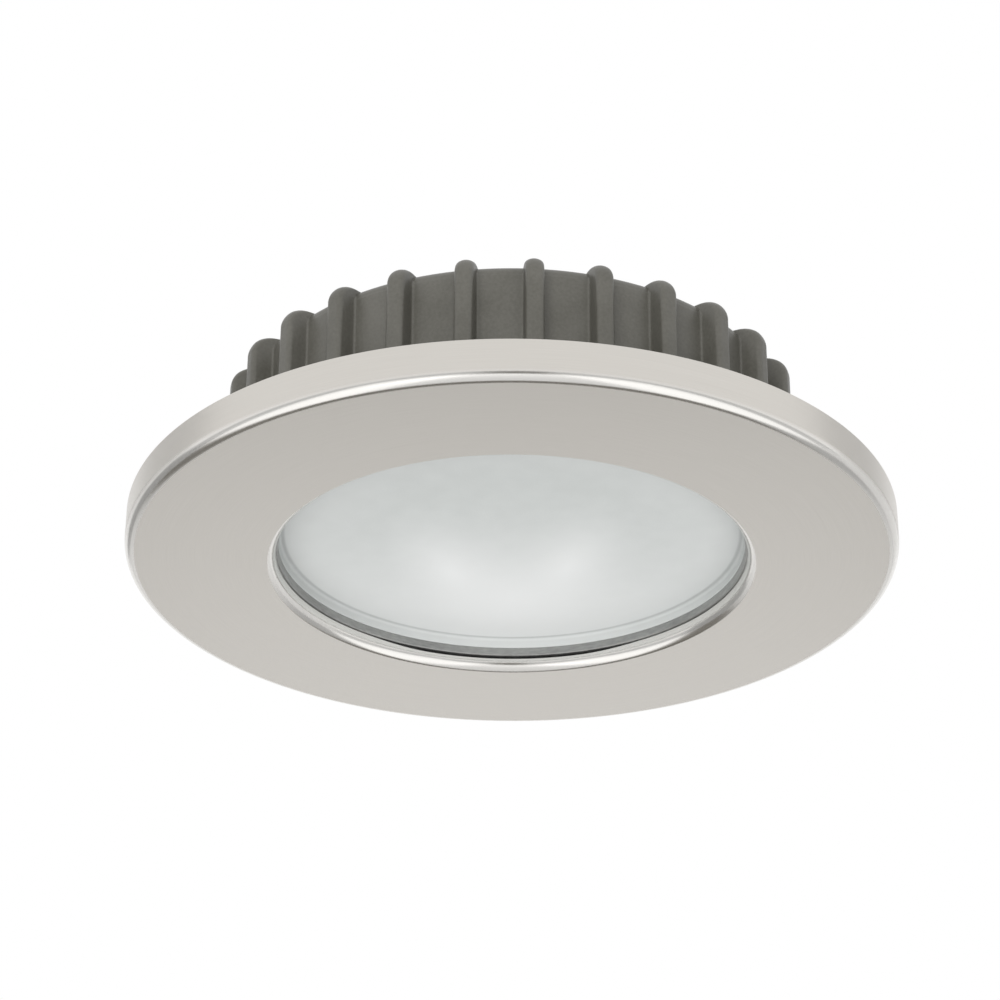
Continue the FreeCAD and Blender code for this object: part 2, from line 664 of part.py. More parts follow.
def rim_grip_springs():
    """Stainless strip springs that hook over the flange's edge and bear on the rim's wall."""
    body = new_body("rim_grip_springs")
    strip = d.clip_strip
    outside = CLIP_INSIDE + strip
    foot = CLIP_INSIDE - d.clip_bow
    bend = d.clip_corner - strip
    sketch = new_sketch(body, "strip", "XZ_Plane")
    outline(sketch, [
        (foot - d.clip_front_leg, FLANGE_FRONT - strip),
        (outside, FLANGE_FRONT - strip, d.clip_corner),
        (outside, FLANGE_BACK + strip, d.clip_corner),
        (foot - d.clip_back_leg, FLANGE_BACK + strip),
        (foot - d.clip_back_leg, FLANGE_BACK),
        (CLIP_INSIDE, FLANGE_BACK, bend),
        (CLIP_INSIDE, FLANGE_FRONT, bend),
        (foot - d.clip_front_leg, FLANGE_FRONT),
    ])
    spring = extrude(body, "spring", sketch, d.clip_width, both_ways=True)
    round_pattern(body, [spring], d.clip_count)
    turn_body(body, CLIP_TURN)
    return body


def flange_gasket():
    """Closed-cell foam ring behind the flange, with a hole for each mounting screw."""
    body = new_body("flange_gasket")
    sketch = new_sketch(body, "ring_outline", "XY_Plane", height=FLANGE_BACK)
    circle(sketch, 0, 0, FLANGE_RADIUS - d.gasket_inset)
    circle(sketch, 0, 0, COLLAR_RADIUS + d.gasket_collar_gap)
    extrude(body, "foam", sketch, d.gasket_thickness)
    doc.recompute()
    places = [(MOUNT_CIRCLE, as_size(0))]
    radius = d.mount_hole + d.gasket_hole_gap
    hole = drill(body, "screw_hole", places, radius, FLANGE_BACK, d.gasket_thickness)
    round_pattern(body, [hole], d.mount_count)
    return body


# ---------------------------------------------------------------- lens and what holds it


def lens_retaining_ring():
    """Ring that clamps the lens's flange. Its bore is the grey wall between the rim's lip and the lens."""
    body = new_body("lens_retaining_ring")
    revolve(body, "ring", [
        (RING_BORE, RING_FRONT),
        (RING_RADIUS, RING_FRONT),
        (RING_RADIUS, LENS_FRONT),
        (RING_BORE, LENS_FRONT),
    ])
    doc.recompute()
    clear = d.small_thread + d.shank_play
    hole = revolve(body, "screw_hole", [
        (0, LENS_FRONT),
        (0, RING_FRONT),
        (d.small_head, RING_FRONT),
        (clear, RING_FRONT + d.small_head - clear),
        (clear, LENS_FRONT),
    ], across=RING_SCREW_CIRCLE, groove=True)
    round_pattern(body, [hole], RING_SCREW_COUNT)
    turn_body(body, RING_SCREW_TURN)
    return body


def retaining_ring_screws():
    """Countersunk screws through the retaining ring into the casting."""
    head = d.small_head - d.shank_play
    tip = RING_FRONT + d.ring_screw_length
    profile = [
        (0, RING_FRONT),
        (head, RING_FRONT),
        (d.small_thread, RING_FRONT + head - d.small_thread),
        (d.small_thread, tip),
        (0, tip),
    ]
    return screws("retaining_ring_screws", RING_SCREW_CIRCLE, RING_SCREW_COUNT, RING_SCREW_TURN,
                  profile, RING_FRONT)


def lens():
    """Frosted lens: a shallow dish with a flat flange round it."""
    body = new_body("lens")
    flange_back = LENS_FRONT + d.lens_wall
    revolve(body, "dish", [
        (0, LENS_FACE),
        (RING_BORE, LENS_FACE),
        (RING_BORE, LENS_FRONT),
        (LENS_RADIUS, LENS_FRONT),
        (LENS_RADIUS, flange_back),
        (RING_BORE + d.lens_wall, flange_back),
        (RING_BORE + d.lens_wall, LENS_BACK),
        (0, LENS_BACK),
    ])
    return body


def lens_seal():
    """Silicone ring between the lens's flange and its seat in the casting."""
    body = new_body("lens_seal")
    inner = CHAMBER_RADIUS + d.seal_inset
    bottom = LENS_FRONT + d.lens_wall
    revolve(body, "ring", [
        (inner, bottom),
        (inner + d.seal_width, bottom),
        (inner + d.seal_width, SEAT_HEIGHT),
        (inner, SEAT_HEIGHT),
    ])
    return body


# ---------------------------------------------------------------- light engine


def led_screw_holes(body, bottom, thickness):
    """Clearance holes for the screws that clamp the light engine."""
    doc.recompute()
    places = places_around(d.led_screw_circle, SCREW_COUNT, LED_SCREW_TURN)
    drill(body, "screw_holes", places, d.small_thread + d.shank_play, bottom, thickness)


def link_places():
    """Where the two link pins stand."""
    return [(d.link_pitch / 2, -d.link_back), (-d.link_pitch / 2, -d.link_back)]


def reflector():
    """White moulded reflector: a flat floor clamped on the LED board, and a cone down to the lens."""
    body = new_body("reflector")
    mouth = LENS_BACK + d.reflector_lens_gap
    outside = REFLECTOR_MOUTH + d.reflector_wall
    revolve(body, "shell", [
        (d.reflector_floor_hole, REFLECTOR_FLOOR),
        (REFLECTOR_FLOOR_EDGE, REFLECTOR_FLOOR),
        (REFLECTOR_MOUTH, mouth),
        (outside, mouth),
        (outside, mouth + d.reflector_wall),
        (REFLECTOR_FLOOR_EDGE + d.reflector_wall, LED_BOARD_FRONT),
        (d.reflector_floor_hole, LED_BOARD_FRONT),
    ])
    led_screw_holes(body, REFLECTOR_FLOOR, d.reflector_wall)
    return body


def led_board():
    """Aluminium-core board with holes for its screws and the link pins."""
    body = disc("led_board", LED_BOARD_RADIUS, LED_BOARD_FRONT, d.board_thickness)
    led_screw_holes(body, LED_BOARD_FRONT, d.board_thickness)
    drill(body, "pin_holes", link_places(), d.link_pin + d.thread_play, LED_BOARD_FRONT, d.board_thickness)
    return body


def led_emitters():
    """Surface-mount LEDs: one in the middle and a ring round it, each with its clear spot."""
    body = new_body("led_emitters")
    half = d.emitter_side / 2
    front = LED_BOARD_FRONT - d.emitter_height
    places = [(as_size(0), as_size(0))] + places_around(d.emitter_circle, EMITTER_COUNT)
    packages = new_sketch(body, "package_outlines", "XY_Plane", height=front)
    for x, y in places:
        rectangle(packages, (x - half, y - half), (x + half, y + half))
    extrude(body, "packages", packages, d.emitter_height)
    spots = new_sketch(body, "spot_outlines", "XY_Plane", height=front - d.emitter_spot_rise)
    for x, y in places:
        circle(spots, x, y, d.emitter_spot)
    extrude(body, "spots", spots, d.emitter_spot_rise + d.emitter_height / 2)
    return body


def thermal_pad():
    """Soft pad that carries heat from the LED board to the spreader."""
    body = disc("thermal_pad", LED_BOARD_RADIUS - d.pad_inset, PAD_FRONT, d.pad_thickness)
    led_screw_holes(body, PAD_FRONT, d.pad_thickness)
    bush_place = [(as_size(0), -d.link_back)]
    drill(body, "bush_hole", bush_place, d.bush_radius + d.thread_play, PAD_FRONT, d.pad_thickness)
    return body


def heat_spreader():
    """Aluminium disc against the ledge: clearance, tapped and stub holes, and the bush's hole."""
    body = disc("heat_spreader", CHAMBER_RADIUS - d.spreader_side_gap, SPREADER_FRONT, d.spreader_thickness)
    doc.recompute()
    tapping = d.small_thread + d.thread_play
    drill(body, "clearance_holes", places_around(BOSS_CIRCLE, SCREW_COUNT, BOSS_TURN),
          d.large_thread + d.shank_play, SPREADER_FRONT, d.spreader_thickness)
    drill(body, "tapped_holes", places_around(d.led_screw_circle, SCREW_COUNT, LED_SCREW_TURN),
          tapping, SPREADER_FRONT, d.spreader_thickness)
    drill(body, "stub_holes", places_around(d.standoff_circle, SCREW_COUNT, STANDOFF_TURN),
          tapping, LEDGE_HEIGHT - d.standoff_stub, d.standoff_stub)
    drill(body, "bush_hole", [(as_size(0), -d.link_back)], d.bush_radius + d.thread_play,
          SPREADER_FRONT, d.spreader_thickness)
    return body


def heat_spreader_screws():
    """Screws through the spreader into the housing's bosses."""
    profile = pan_head(d.large_head, d.large_head_height, d.large_thread, SPREADER_FRONT,
                       d.spreader_screw_length)
    return screws("heat_spreader_screws", BOSS_CIRCLE, SCREW_COUNT, BOSS_TURN, profile,
                  SPREADER_FRONT - d.large_head_height)


def led_board_screws():
    """Screws that clamp reflector, board and pad to the spreader."""
    profile = pan_head(d.small_head, d.small_head_height, d.small_thread, REFLECTOR_FLOOR,
                       LEDGE_HEIGHT - REFLECTOR_FLOOR)
    return screws("led_board_screws", d.led_screw_circle, SCREW_COUNT, LED_SCREW_TURN, profile,
                  REFLECTOR_FLOOR - d.small_head_height)


# ---------------------------------------------------------------- driver


def board_standoffs():
    """Threaded spacers, each with a stub pressed into the spreader."""
    body = new_body("board_standoffs")
    bore = d.small_thread + d.thread_play
    spacer = revolve(body, "spacer", [
        (0, LEDGE_HEIGHT - d.standoff_stub),
        (d.small_thread, LEDGE_HEIGHT - d.standoff_stub),
        (d.small_thread, LEDGE_HEIGHT),
        (d.standoff_radius, LEDGE_HEIGHT),
        (d.standoff_radius, DRIVER_BACK),
        (bore, DRIVER_BACK),
        (bore, DRIVER_BACK - d.standoff_bore_depth),
        (0, DRIVER_BACK - d.standoff_bore_depth),
    ], across=d.standoff_circle)
    round_pattern(body, [spacer], SCREW_COUNT)
    turn_body(body, STANDOFF_TURN)
    return body


def driver_board():
    """Round circuit board of the driver."""
    body = disc("driver_board", DRIVER_BOARD_RADIUS, DRIVER_BACK, d.board_thickness)
    doc.recompute()
    drill(body, "screw_holes", places_around(d.standoff_circle, SCREW_COUNT, STANDOFF_TURN),
          d.small_thread + d.shank_play, DRIVER_BACK, d.board_thickness)
    drill(body, "pin_holes", link_places(), d.link_pin + d.thread_play, DRIVER_BACK, d.board_thickness)
    return body


def driver_board_screws():
    """Screws from above through the driver board into the spacers."""
    top = DRIVER_TOP + d.small_head_height
    tip = DRIVER_TOP - d.driver_screw_length
    profile = [
        (0, tip),
        (d.small_thread, tip),
        (d.small_thread, DRIVER_TOP),
        (d.small_head, DRIVER_TOP),
        (d.small_head, top, d.small_head_height / 2),
        (0, top),
    ]
    return screws("driver_board_screws", d.standoff_circle, SCREW_COUNT, STANDOFF_TURN, profile,
                  top - d.drive_depth)


def block(name, centre, size, bottom, corner=None):
    """A body that is a box about a centre on the driver board, with rounded upright corners if given."""
    body = new_body(name)
    sketch = new_sketch(body, "outline", "XY_Plane", height=bottom)
    x, y = centre[0], centre[1]
    half_x, half_y = size[0] / 2, size[1] / 2
    corners = [(x - half_x, y - half_y), (x + half_x, y - half_y), (x + half_x, y + half_y),
               (x - half_x, y + half_y)]
    outline(sketch, corners if corner is None else [place + (corner,) for place in corners])
    extrude(body, "block", sketch, size[2])
    return body


def driver_inductor():
    """Shielded inductor with rounded corners."""
    size = (d.inductor_side, d.inductor_side, d.inductor_height)
    return block("driver_inductor", (-d.inductor_left, -d.inductor_front), size,
                 DRIVER_TOP, corner=d.inductor_corner)


def driver_chip():
    """Controller in a small-outline package."""
    size = (d.chip_length, d.chip_width, d.chip_height)
    return block("driver_chip", (as_size(0), -d.chip_front), size, DRIVER_TOP)


def driver_diodes():
    """Bridge of four small diodes in a row."""
    body = new_body("driver_diodes")
    sketch = new_sketch(body, "outlines", "XY_Plane", height=DRIVER_TOP)
    for step in range(DIODE_COUNT):
        y = d.diode_first - d.diode_pitch * step
        rectangle(sketch, (-d.diode_left - d.diode_length, y), (-d.diode_left, y + d.diode_width))
    extrude(body, "diodes", sketch, d.diode_height)
    return body


def driver_capacitors():
    """Two electrolytic capacitors that lie side by side on the board, along X."""
    body = new_body("driver_capacitors")
    axis_height = DRIVER_TOP + d.solder_gap + d.capacitor_radius
    sketch = new_sketch(body, "outlines", "YZ_Plane", height=d.capacitor_right)
    for step in range(CAPACITOR_COUNT):
        circle(sketch, -d.capacitor_front - d.capacitor_pitch * step, axis_height, d.capacitor_radius)
    extrude(body, "cans", sketch, d.capacitor_length)
    return body


def supply_terminal():
    """Two-pole terminal block, with a wire entry and a screw hole for each pole."""
    centre = (d.terminal_right, d.terminal_back)
    size = (d.terminal_length, d.terminal_width, d.terminal_height)
    body = block("supply_terminal", centre, size, DRIVER_TOP)
    doc.recompute()
    top = DRIVER_TOP + d.terminal_height
    drill(body, "screw_holes", terminal_poles(), d.terminal_screw + d.thread_play,
          top - d.terminal_hole_depth, d.terminal_hole_depth)
    entries = new_sketch(body, "entry_outline", "XZ_Plane", height=-(d.terminal_back - d.terminal_width / 2))
    for x, _ in terminal_poles():
        circle(entries, x, DRIVER_TOP + d.terminal_height / 3, d.wire_entry)
    entry = extrude(body, "entry", entries, d.terminal_width / 2, cut=True)
    entry.Reversed = False
    return body


def terminal_poles():
    """The places of the terminal's two poles."""
    half = d.terminal_pitch / 2
    return [(d.terminal_right - half, d.terminal_back), (d.terminal_right + half, d.terminal_back)]


def terminal_screws():
    """Wire screws of the terminal block."""
    body = new_body("terminal_screws")
    floor = DRIVER_TOP + d.terminal_height - d.terminal_hole_depth
    sketch = new_sketch(body, "outlines", "XY_Plane", height=floor)
    for x, y in terminal_poles():
        circle(sketch, x, y, d.terminal_screw)
    extrude(body, "screws", sketch, d.terminal_screw_length)
    return body


def board_link_pins():
    """Two pins that carry the current from the driver board down to the LED board."""
    body = new_body("board_link_pins")
    bottom = LED_BOARD_FRONT - d.link_stub
    sketch = new_sketch(body, "outlines", "XY_Plane", height=bottom)
    for x, y in link_places():
        circle(sketch, x, y, d.link_pin)
    extrude(body, "pins", sketch, DRIVER_TOP + d.link_stub - bottom)
    return body


def link_pin_bush():
    """Insulating bush round the link pins where they pass the pad and the spreader."""
    body = new_body("link_pin_bush")
    bottom = PAD_FRONT
    length = LEDGE_HEIGHT + d.bush_rise - bottom
    sketch = new_sketch(body, "outline", "XY_Plane", height=bottom)
    circle(sketch, 0, -d.link_back, d.bush_radius)
    extrude(body, "bush", sketch, length)
    doc.recompute()
    drill(body, "pin_holes", link_places(), d.link_pin + d.thread_play, bottom, length)
    return body


def driver_insulator():
    """Plastic sheet on the housing's ceiling, with a hole round the gland's lock nut."""
    thickness = d.insulator_thickness
    body = disc("driver_insulator", DRIVER_BOARD_RADIUS, CEILING - thickness, thickness)
    doc.recompute()
    nut_hole = d.lock_nut_flat * HEX_CORNER + d.insulator_nut_gap
    drill(body, "nut_hole", [(as_size(0), d.gland_back)], nut_hole, CEILING - thickness, thickness)
    return body


# ---------------------------------------------------------------- cable gland


def hexagon(sketch, half_flat, x, y):
    """A hexagon about (x, y), given half its width across flats."""
    outline(sketch, [(x + px, y + py) for px, py in places_around(half_flat * HEX_CORNER, 6)])


def gland_part(name, half_flat, bottom, thickness):
    """A body that starts as a hexagon on the gland's axis."""
    body = new_body(name)
    sketch = new_sketch(body, "hexagon", "XY_Plane", height=bottom)
    hexagon(sketch, half_flat, as_size(0), d.gland_back)
    extrude(body, "hex", sketch, thickness)
    return body


def gland_ring(body, name, radius, bottom, length, cut=False):
    """A round on the gland's axis, added or cut, from the height bottom up over length."""
    sketch = new_sketch(body, f"{name}_outline", "XY_Plane", height=bottom)
    circle(sketch, 0, d.gland_back, radius)
    return extrude(body, name, sketch, length, cut=cut)


def gland_body():
    """Gland body: lower thread, hexagon, upper thread, and the bore with its shoulder for the bush."""
    body = gland_part("gland_body", d.gland_flat, GLAND_HEX_BASE, d.gland_hex_height)
    tail = CEILING - d.gland_tail
    gland_ring(body, "lower_thread", d.gland_thread, tail, GLAND_HEX_BASE - tail)
    gland_ring(body, "upper_thread", d.gland_neck, GLAND_HEX_TOP, d.gland_neck_height)
    doc.recompute()
    shoulder = BUSH_TOP - d.gland_seal_height
    gland_ring(body, "bush_bore", d.gland_bore, shoulder, d.gland_seal_height, cut=True)
    doc.recompute()
    gland_ring(body, "cable_bore", d.gland_bore - d.gland_shoulder, tail, shoulder - tail, cut=True)
    return body


def gland_o_ring():
    """Seal ring squeezed between the gland's hexagon and the housing's top."""
    body = new_body("gland_o_ring")
    inner = d.gland_thread + d.gland_play
    revolve_at_gland(body, "ring", [
        (inner, d.housing_rise),
        (inner + d.o_ring_width, d.housing_rise, d.o_ring_round),
        (inner + d.o_ring_width, GLAND_HEX_BASE, d.o_ring_round),
        (inner, GLAND_HEX_BASE),
    ])
    return body


def revolve_at_gland(body, name, corners, groove=False):
    """Turn a profile of (radius, height) corners about the gland's axis."""
    sketch = new_sketch(body, f"{name}_profile", "XZ_Plane", height=-d.gland_back)
    outline(sketch, corners)
    kind = "PartDesign::Groove" if groove else "PartDesign::Revolution"
    feature = body.newObject(kind, f"{body.Name}_{name}")
    feature.Profile = sketch
    feature.ReferenceAxis = (sketch, ["V_Axis"])
    feature.Angle = 360
    return feature


def gland_lock_nut():
    """Hexagon nut inside the housing."""
    bottom = CEILING - d.lock_nut_height
    body = gland_part("gland_lock_nut", d.lock_nut_flat, bottom, d.lock_nut_height)
    doc.recompute()
    gland_ring(body, "tapping", d.gland_thread + d.thread_play, bottom, d.lock_nut_height, cut=True)
    return body


def gland_seal():
    """Rubber bush that grips the cable."""
    body = new_body("gland_seal")
    outer = d.gland_bore - d.gland_seal_play
    bottom = BUSH_TOP - d.gland_seal_height
    revolve_at_gland(body, "bush", [
        (d.cable_radius, bottom),
        (outer, bottom),
        (outer, BUSH_TOP),
        (d.cable_radius, BUSH_TOP),
    ])
    return body


def gland_dome_nut():
    """Dome nut over the upper thread: hexagon below, rounded dome above, and the cable's mouth."""
    bottom = GLAND_HEX_TOP + d.dome_gap
    top = bottom + d.dome_rise
    body = gland_part("gland_dome_nut", d.gland_flat, bottom, d.dome_hex_height)
    inner = d.gland_neck + d.thread_play
    revolve_at_gland(body, "dome", [
        (inner, bottom + d.dome_hex_height / 2),
        (d.gland_flat, bottom + d.dome_hex_height / 2),
        (d.gland_flat, top, d.dome_round),
        (d.dome_mouth, top),
        (d.dome_mouth, BUSH_TOP),
        (inner, BUSH_TOP),
    ])
    doc.recompute()
    gland_ring(body, "tapping", inner, bottom, BUSH_TOP - bottom, cut=True)
    return body


# ---------------------------------------------------------------- build, check and write

PIECES = [
    trim_rim, heat_sink_housing, rim_grip_springs, flange_gasket,
    lens_retaining_ring, retaining_ring_screws, lens, lens_seal,
    reflector, led_board, led_emitters, thermal_pad, heat_spreader, heat_spreader_screws, led_board_screws,
    board_standoffs, driver_board, driver_board_screws, driver_inductor, driver_chip, driver_diodes,
    driver_capacitors, supply_terminal, terminal_screws, board_link_pins, link_pin_bush, driver_insulator,
    gland_body, gland_o_ring, gland_lock_nut, gland_seal, gland_dome_nut,
]


def check(bodies):
    """Stop if any object failed, or if any piece is missing or not valid."""
    for item in doc.Objects:
        failed = [word for word in item.State if word in ("Invalid", "Error")]
        if failed:
            raise RuntimeError(f"{item.Name}: {item.State} {item.getStatusString()}")
    for body in bodies:
        if body.Shape.isNull() or not body.Shape.isValid() or body.Shape.Volume <= 0:
            raise RuntimeError(f"{body.Label} has no valid shape")


def write(bodies):
    """One STEP file for each piece."""
    os.makedirs("parts", exist_ok=True)
    for body in bodies:
        body.Shape.exportStep(f"parts/{body.Label}.step")
        print(f"{body.Label}: {len(body.Shape.Solids)} solids, {body.Shape.Volume:.1f} mm3")


pieces = [make() for make in PIECES]
doc.recompute()
check(pieces)
write(pieces)
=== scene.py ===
"""Looks of a recessed soffit downlight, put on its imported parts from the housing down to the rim.

Profiles and outlines are in millimetres, as (radius, height) or (x, y); skin() turns them into metres.
The frame is the row's own: +Z up into the soffit, -Y towards the viewer.
"""

import bpy
import numpy as np
from mathutils import Matrix


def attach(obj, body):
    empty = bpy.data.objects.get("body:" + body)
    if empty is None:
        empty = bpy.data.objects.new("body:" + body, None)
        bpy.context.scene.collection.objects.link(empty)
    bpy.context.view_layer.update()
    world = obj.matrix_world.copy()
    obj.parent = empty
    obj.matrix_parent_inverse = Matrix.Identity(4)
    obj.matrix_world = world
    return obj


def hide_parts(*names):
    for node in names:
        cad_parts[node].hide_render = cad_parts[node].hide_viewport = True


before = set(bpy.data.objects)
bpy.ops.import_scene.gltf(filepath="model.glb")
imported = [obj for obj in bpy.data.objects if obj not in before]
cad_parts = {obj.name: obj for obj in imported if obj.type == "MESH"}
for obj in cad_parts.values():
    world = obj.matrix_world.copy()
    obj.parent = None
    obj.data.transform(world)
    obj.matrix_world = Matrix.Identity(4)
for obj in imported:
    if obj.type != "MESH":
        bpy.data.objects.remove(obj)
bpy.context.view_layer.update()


# ---------------------------------------------------------------- heat sink housing
# A die-cast aluminium cup with 27 rounded ribs, powder coated dark grey. One casting holds the driver,
# the light engine and the lens, and its flange is screwed up against the soffit.


def rounded(corners, closed=True, steps=6, hold=0.08):
    """A profile whose corners (x, y, radius) are arcs that touch both sides.
    An arc's centre lies on the corner's bisector at radius / sin(half angle), and its points are the slerp
    between the two touching points. Long straight runs get a point near each end, to keep them flat."""
    corners = np.array(corners, float)
    place, radius = corners[:, :2], corners[:, 2:]
    back = np.roll(place, 1, 0) - place
    ahead = np.roll(place, -1, 0) - place
    back /= np.linalg.norm(back, axis=1, keepdims=True)
    ahead /= np.linalg.norm(ahead, axis=1, keepdims=True)
    half = np.arccos(np.clip(np.sum(back * ahead, 1, keepdims=True), -0.999999, 0.999999)) / 2
    bisector = back + ahead
    bisector /= np.linalg.norm(bisector, axis=1, keepdims=True)
    centre = place + bisector * radius / np.sin(half)
    start = place + back * radius / np.tan(half) - centre
    end = place + ahead * radius / np.tan(half) - centre
    turn = (np.pi - 2 * half)[:, None]
    share = np.linspace(0, 1, steps)[None, :, None]
    arc = (np.sin((1 - share) * turn) * start[:, None] + np.sin(share * turn) * end[:, None]) / np.sin(turn)
    points = (centre[:, None] + arc).reshape(-1, 2)
    points = points[np.linalg.norm(points - np.roll(points, 1, 0), axis=1) > 1e-6]
    run = np.roll(points, -1, 0) - points
    length = np.linalg.norm(run, axis=1, keepdims=True)
    if not closed:
        length[-1] = 0
    near = np.where(length > 4 * hold, hold / np.maximum(length, 1e-9), np.nan)
    held = np.stack([points, points + run * near, points + run * (1 - near)], 1).reshape(-1, 2)
    return held[~np.isnan(held[:, 0])]


def turned(profile, columns=240, across=(0.0, 0.0)):
    """A profile of (radius, height) points carried round an upright axis at (x, y):
    x + radius cos(azimuth), y + radius sin(azimuth), height."""
    azimuth = np.linspace(0, 2 * np.pi, columns, endpoint=False)[None, :]
    radius, height = profile[:, :1], profile[:, 1:]
    return np.stack([across[0] + radius * np.cos(azimuth), across[1] + radius * np.sin(azimuth),
                     np.broadcast_to(height, (len(profile), columns))], 2)


def lifted(outline, low, high):
    """An upright prism: an outline of (x, y) points at two heights, closed by a pole in its middle."""
    outline = np.array(outline, float)
    middle = np.broadcast_to(outline.mean(0), outline.shape)
    rows = [(middle, low), (outline, low), (outline, high), (middle, high)]
    return np.stack([np.c_[flat, np.full(len(flat), height)] for flat, height in rows])


def spun(points, degrees):
    """Points turned about the light's axis: (x cos a - y sin a, x sin a + y cos a)."""
    turn = np.radians(degrees)
    x, y = points[..., 0], points[..., 1]
    flat = [x * np.cos(turn) - y * np.sin(turn), x * np.sin(turn) + y * np.cos(turn)]
    return np.stack(flat + [points[..., 2]], -1)


def skin(name, grids, closed=False, smooth=35.0):
    """An object over one or more grids of points: rows along a profile, columns round an axis.
    Quads join neighbours and the last column meets the first. A closed grid's last row meets its first; an
    open one ends in a pole at each end, where all the points of the row are one."""
    grids = [grids] if isinstance(grids, np.ndarray) else grids
    points, quads, triangles = [], [], []
    used = 0
    for grid in grids:
        rows, columns = grid.shape[:2]
        index = used + np.arange(rows * columns).reshape(rows, columns)
        used += rows * columns
        points.append(grid.reshape(-1, 3))
        low, high = (index, np.roll(index, -1, 0)) if closed else (index[1:-2], index[2:-1])
        quads.append(np.stack([low, np.roll(low, -1, 1), np.roll(high, -1, 1), high], 2).reshape(-1, 4))
        if not closed:
            foot, top = np.full(columns, index[0, 0]), np.full(columns, index[-1, 0])
            triangles.append(np.stack([foot, np.roll(index[1], -1), index[1]], 1))
            triangles.append(np.stack([index[-2], np.roll(index[-2], -1), top], 1))
    corners = np.concatenate([part.ravel() for part in quads + triangles])
    kept, corners = np.unique(corners, return_inverse=True)
    cut = sum(part.size for part in quads)
    faces = corners[:cut].reshape(-1, 4).tolist() + corners[cut:].reshape(-1, 3).tolist()
    mesh = bpy.data.meshes.new(name)
    mesh.from_pydata((np.concatenate(points)[kept] * 0.001).tolist(), [], faces)
    mesh.polygons.foreach_set("use_smooth", np.ones(len(faces), bool))
    mesh.set_sharp_from_angle(angle=np.radians(smooth))
    piece = bpy.data.objects.new(name, mesh)
    bpy.context.scene.collection.objects.link(piece)
    return piece


def cut_away(piece, tool):
    """Takes the closed shape of tool out of piece, and tool out of the scene."""
    modifier = piece.modifiers.new("cut", "BOOLEAN")
    modifier.operation = "DIFFERENCE"
    modifier.solver = "EXACT"
    modifier.object = tool
    graph = bpy.context.evaluated_depsgraph_get()
    mesh = bpy.data.meshes.new_from_object(piece.evaluated_get(graph))
    piece.modifiers.clear()
    piece.data = mesh
    mesh.set_sharp_from_angle(angle=np.radians(35))
    bpy.data.objects.remove(tool)


def wire(material, start, end):
    """Joins an output socket to an input socket."""
    material.node_tree.links.new(start, end)


def reckoned(material, operation, first, second):
    """The result of an operation on a socket and another value, itself a socket or a plain number."""
    step = material.node_tree.nodes.new("ShaderNodeMath")
    step.operation = operation
    wire(material, first, step.inputs[0])
    if isinstance(second, float):
        step.inputs[1].default_value = second
    else:
        wire(material, second, step.inputs[1])
    return step.outputs[0]


def toned(material, factor, dark, light):
    """A colour that is dark up to 0.3 of the factor, light from 0.7 of it, and runs evenly between them."""
    tones = material.node_tree.nodes.new("ShaderNodeValToRGB")
    for mark, position, tone in zip(tones.color_ramp.elements, (0.3, 0.7), (dark, light)):
        mark.position = position
        mark.color = (*tone, 1)
    wire(material, factor, tones.inputs["Fac"])
    return tones.outputs["Color"]


def ranged(material, factor, low, high):
    """A number that runs from low to high as the factor runs from 0 to 1."""
    span = material.node_tree.nodes.new("ShaderNodeMapRange")
    span.inputs["To Min"].default_value = low
    span.inputs["To Max"].default_value = high
    wire(material, factor, span.inputs["Value"])
    return span.outputs["Result"]


def raised(material, height, strength, relief):
    """Lets a height socket tilt the material's surface. Relief is the height of its marks in millimetres."""
    nodes = material.node_tree.nodes
    bump = nodes.new("ShaderNodeBump")
    bump.inputs["Strength"].default_value = strength
    bump.inputs["Distance"].default_value = relief * 0.001
    wire(material, height, bump.inputs["Height"])
    wire(material, bump.outputs["Normal"], nodes["Principled BSDF"].inputs["Normal"])


def finish(name, dark, light, rough, grain, metal=0.0, bump=0.0, stretch=(1, 1, 1), depth=3.0, relief=0.05):
    """A material whose colour drifts between two tones and whose roughness and surface follow the same grain.
    Grain is the size of its marks in millimetres, stretch how much longer they are along each axis, bump
    their strength and relief their height in millimetres. A second noise, 14 times as coarse, makes the
    colour drift from place to place."""
    material = bpy.data.materials.new(name)
    material.use_nodes = True
    nodes = material.node_tree.nodes
    shader = nodes["Principled BSDF"]
    shader.inputs["Metallic"].default_value = metal
    place = nodes.new("ShaderNodeTexCoord")
    fit = nodes.new("ShaderNodeMapping")
    fit.inputs["Scale"].default_value = [1000.0 / (grain * side) for side in stretch]
    wire(material, place.outputs["Object"], fit.inputs["Vector"])
    grains = []
    for scale, detail in ((1.0, depth), (0.07, 1.0)):
        noise = nodes.new("ShaderNodeTexNoise")
        noise.inputs["Scale"].default_value = scale
        noise.inputs["Detail"].default_value = detail
        wire(material, fit.outputs["Vector"], noise.inputs["Vector"])
        grains.append(noise.outputs["Fac"])
    marks, drift = grains
    mean = reckoned(material, "MULTIPLY", reckoned(material, "ADD", marks, drift), 0.5)
    wire(material, toned(material, mean, dark, light), shader.inputs["Base Color"])
    wire(material, ranged(material, marks, *rough), shader.inputs["Roughness"])
    if bump:
        raised(material, marks, bump, relief)
    return material


def dress(node, material):
    """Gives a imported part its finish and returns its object."""
    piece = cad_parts[node]
    for slot in piece.material_slots:
        slot.material = material
    return piece


def stand_for(piece, node, material, body="lamp"):
    """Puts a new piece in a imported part's place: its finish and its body."""
    piece.data.materials.clear()
    piece.data.materials.append(material)
    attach(piece, body)
    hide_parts(node)
    return piece


# The rib nearest the viewer stands 3.85 degrees to the right of the middle.
RIBS, RIB_FIRST = 27, 270 + 3.85
RIB_HALF, RIB_HIGH = 1.35, 3.3
RIB_EDGE, RIB_FILLET = 0.75, 0.35
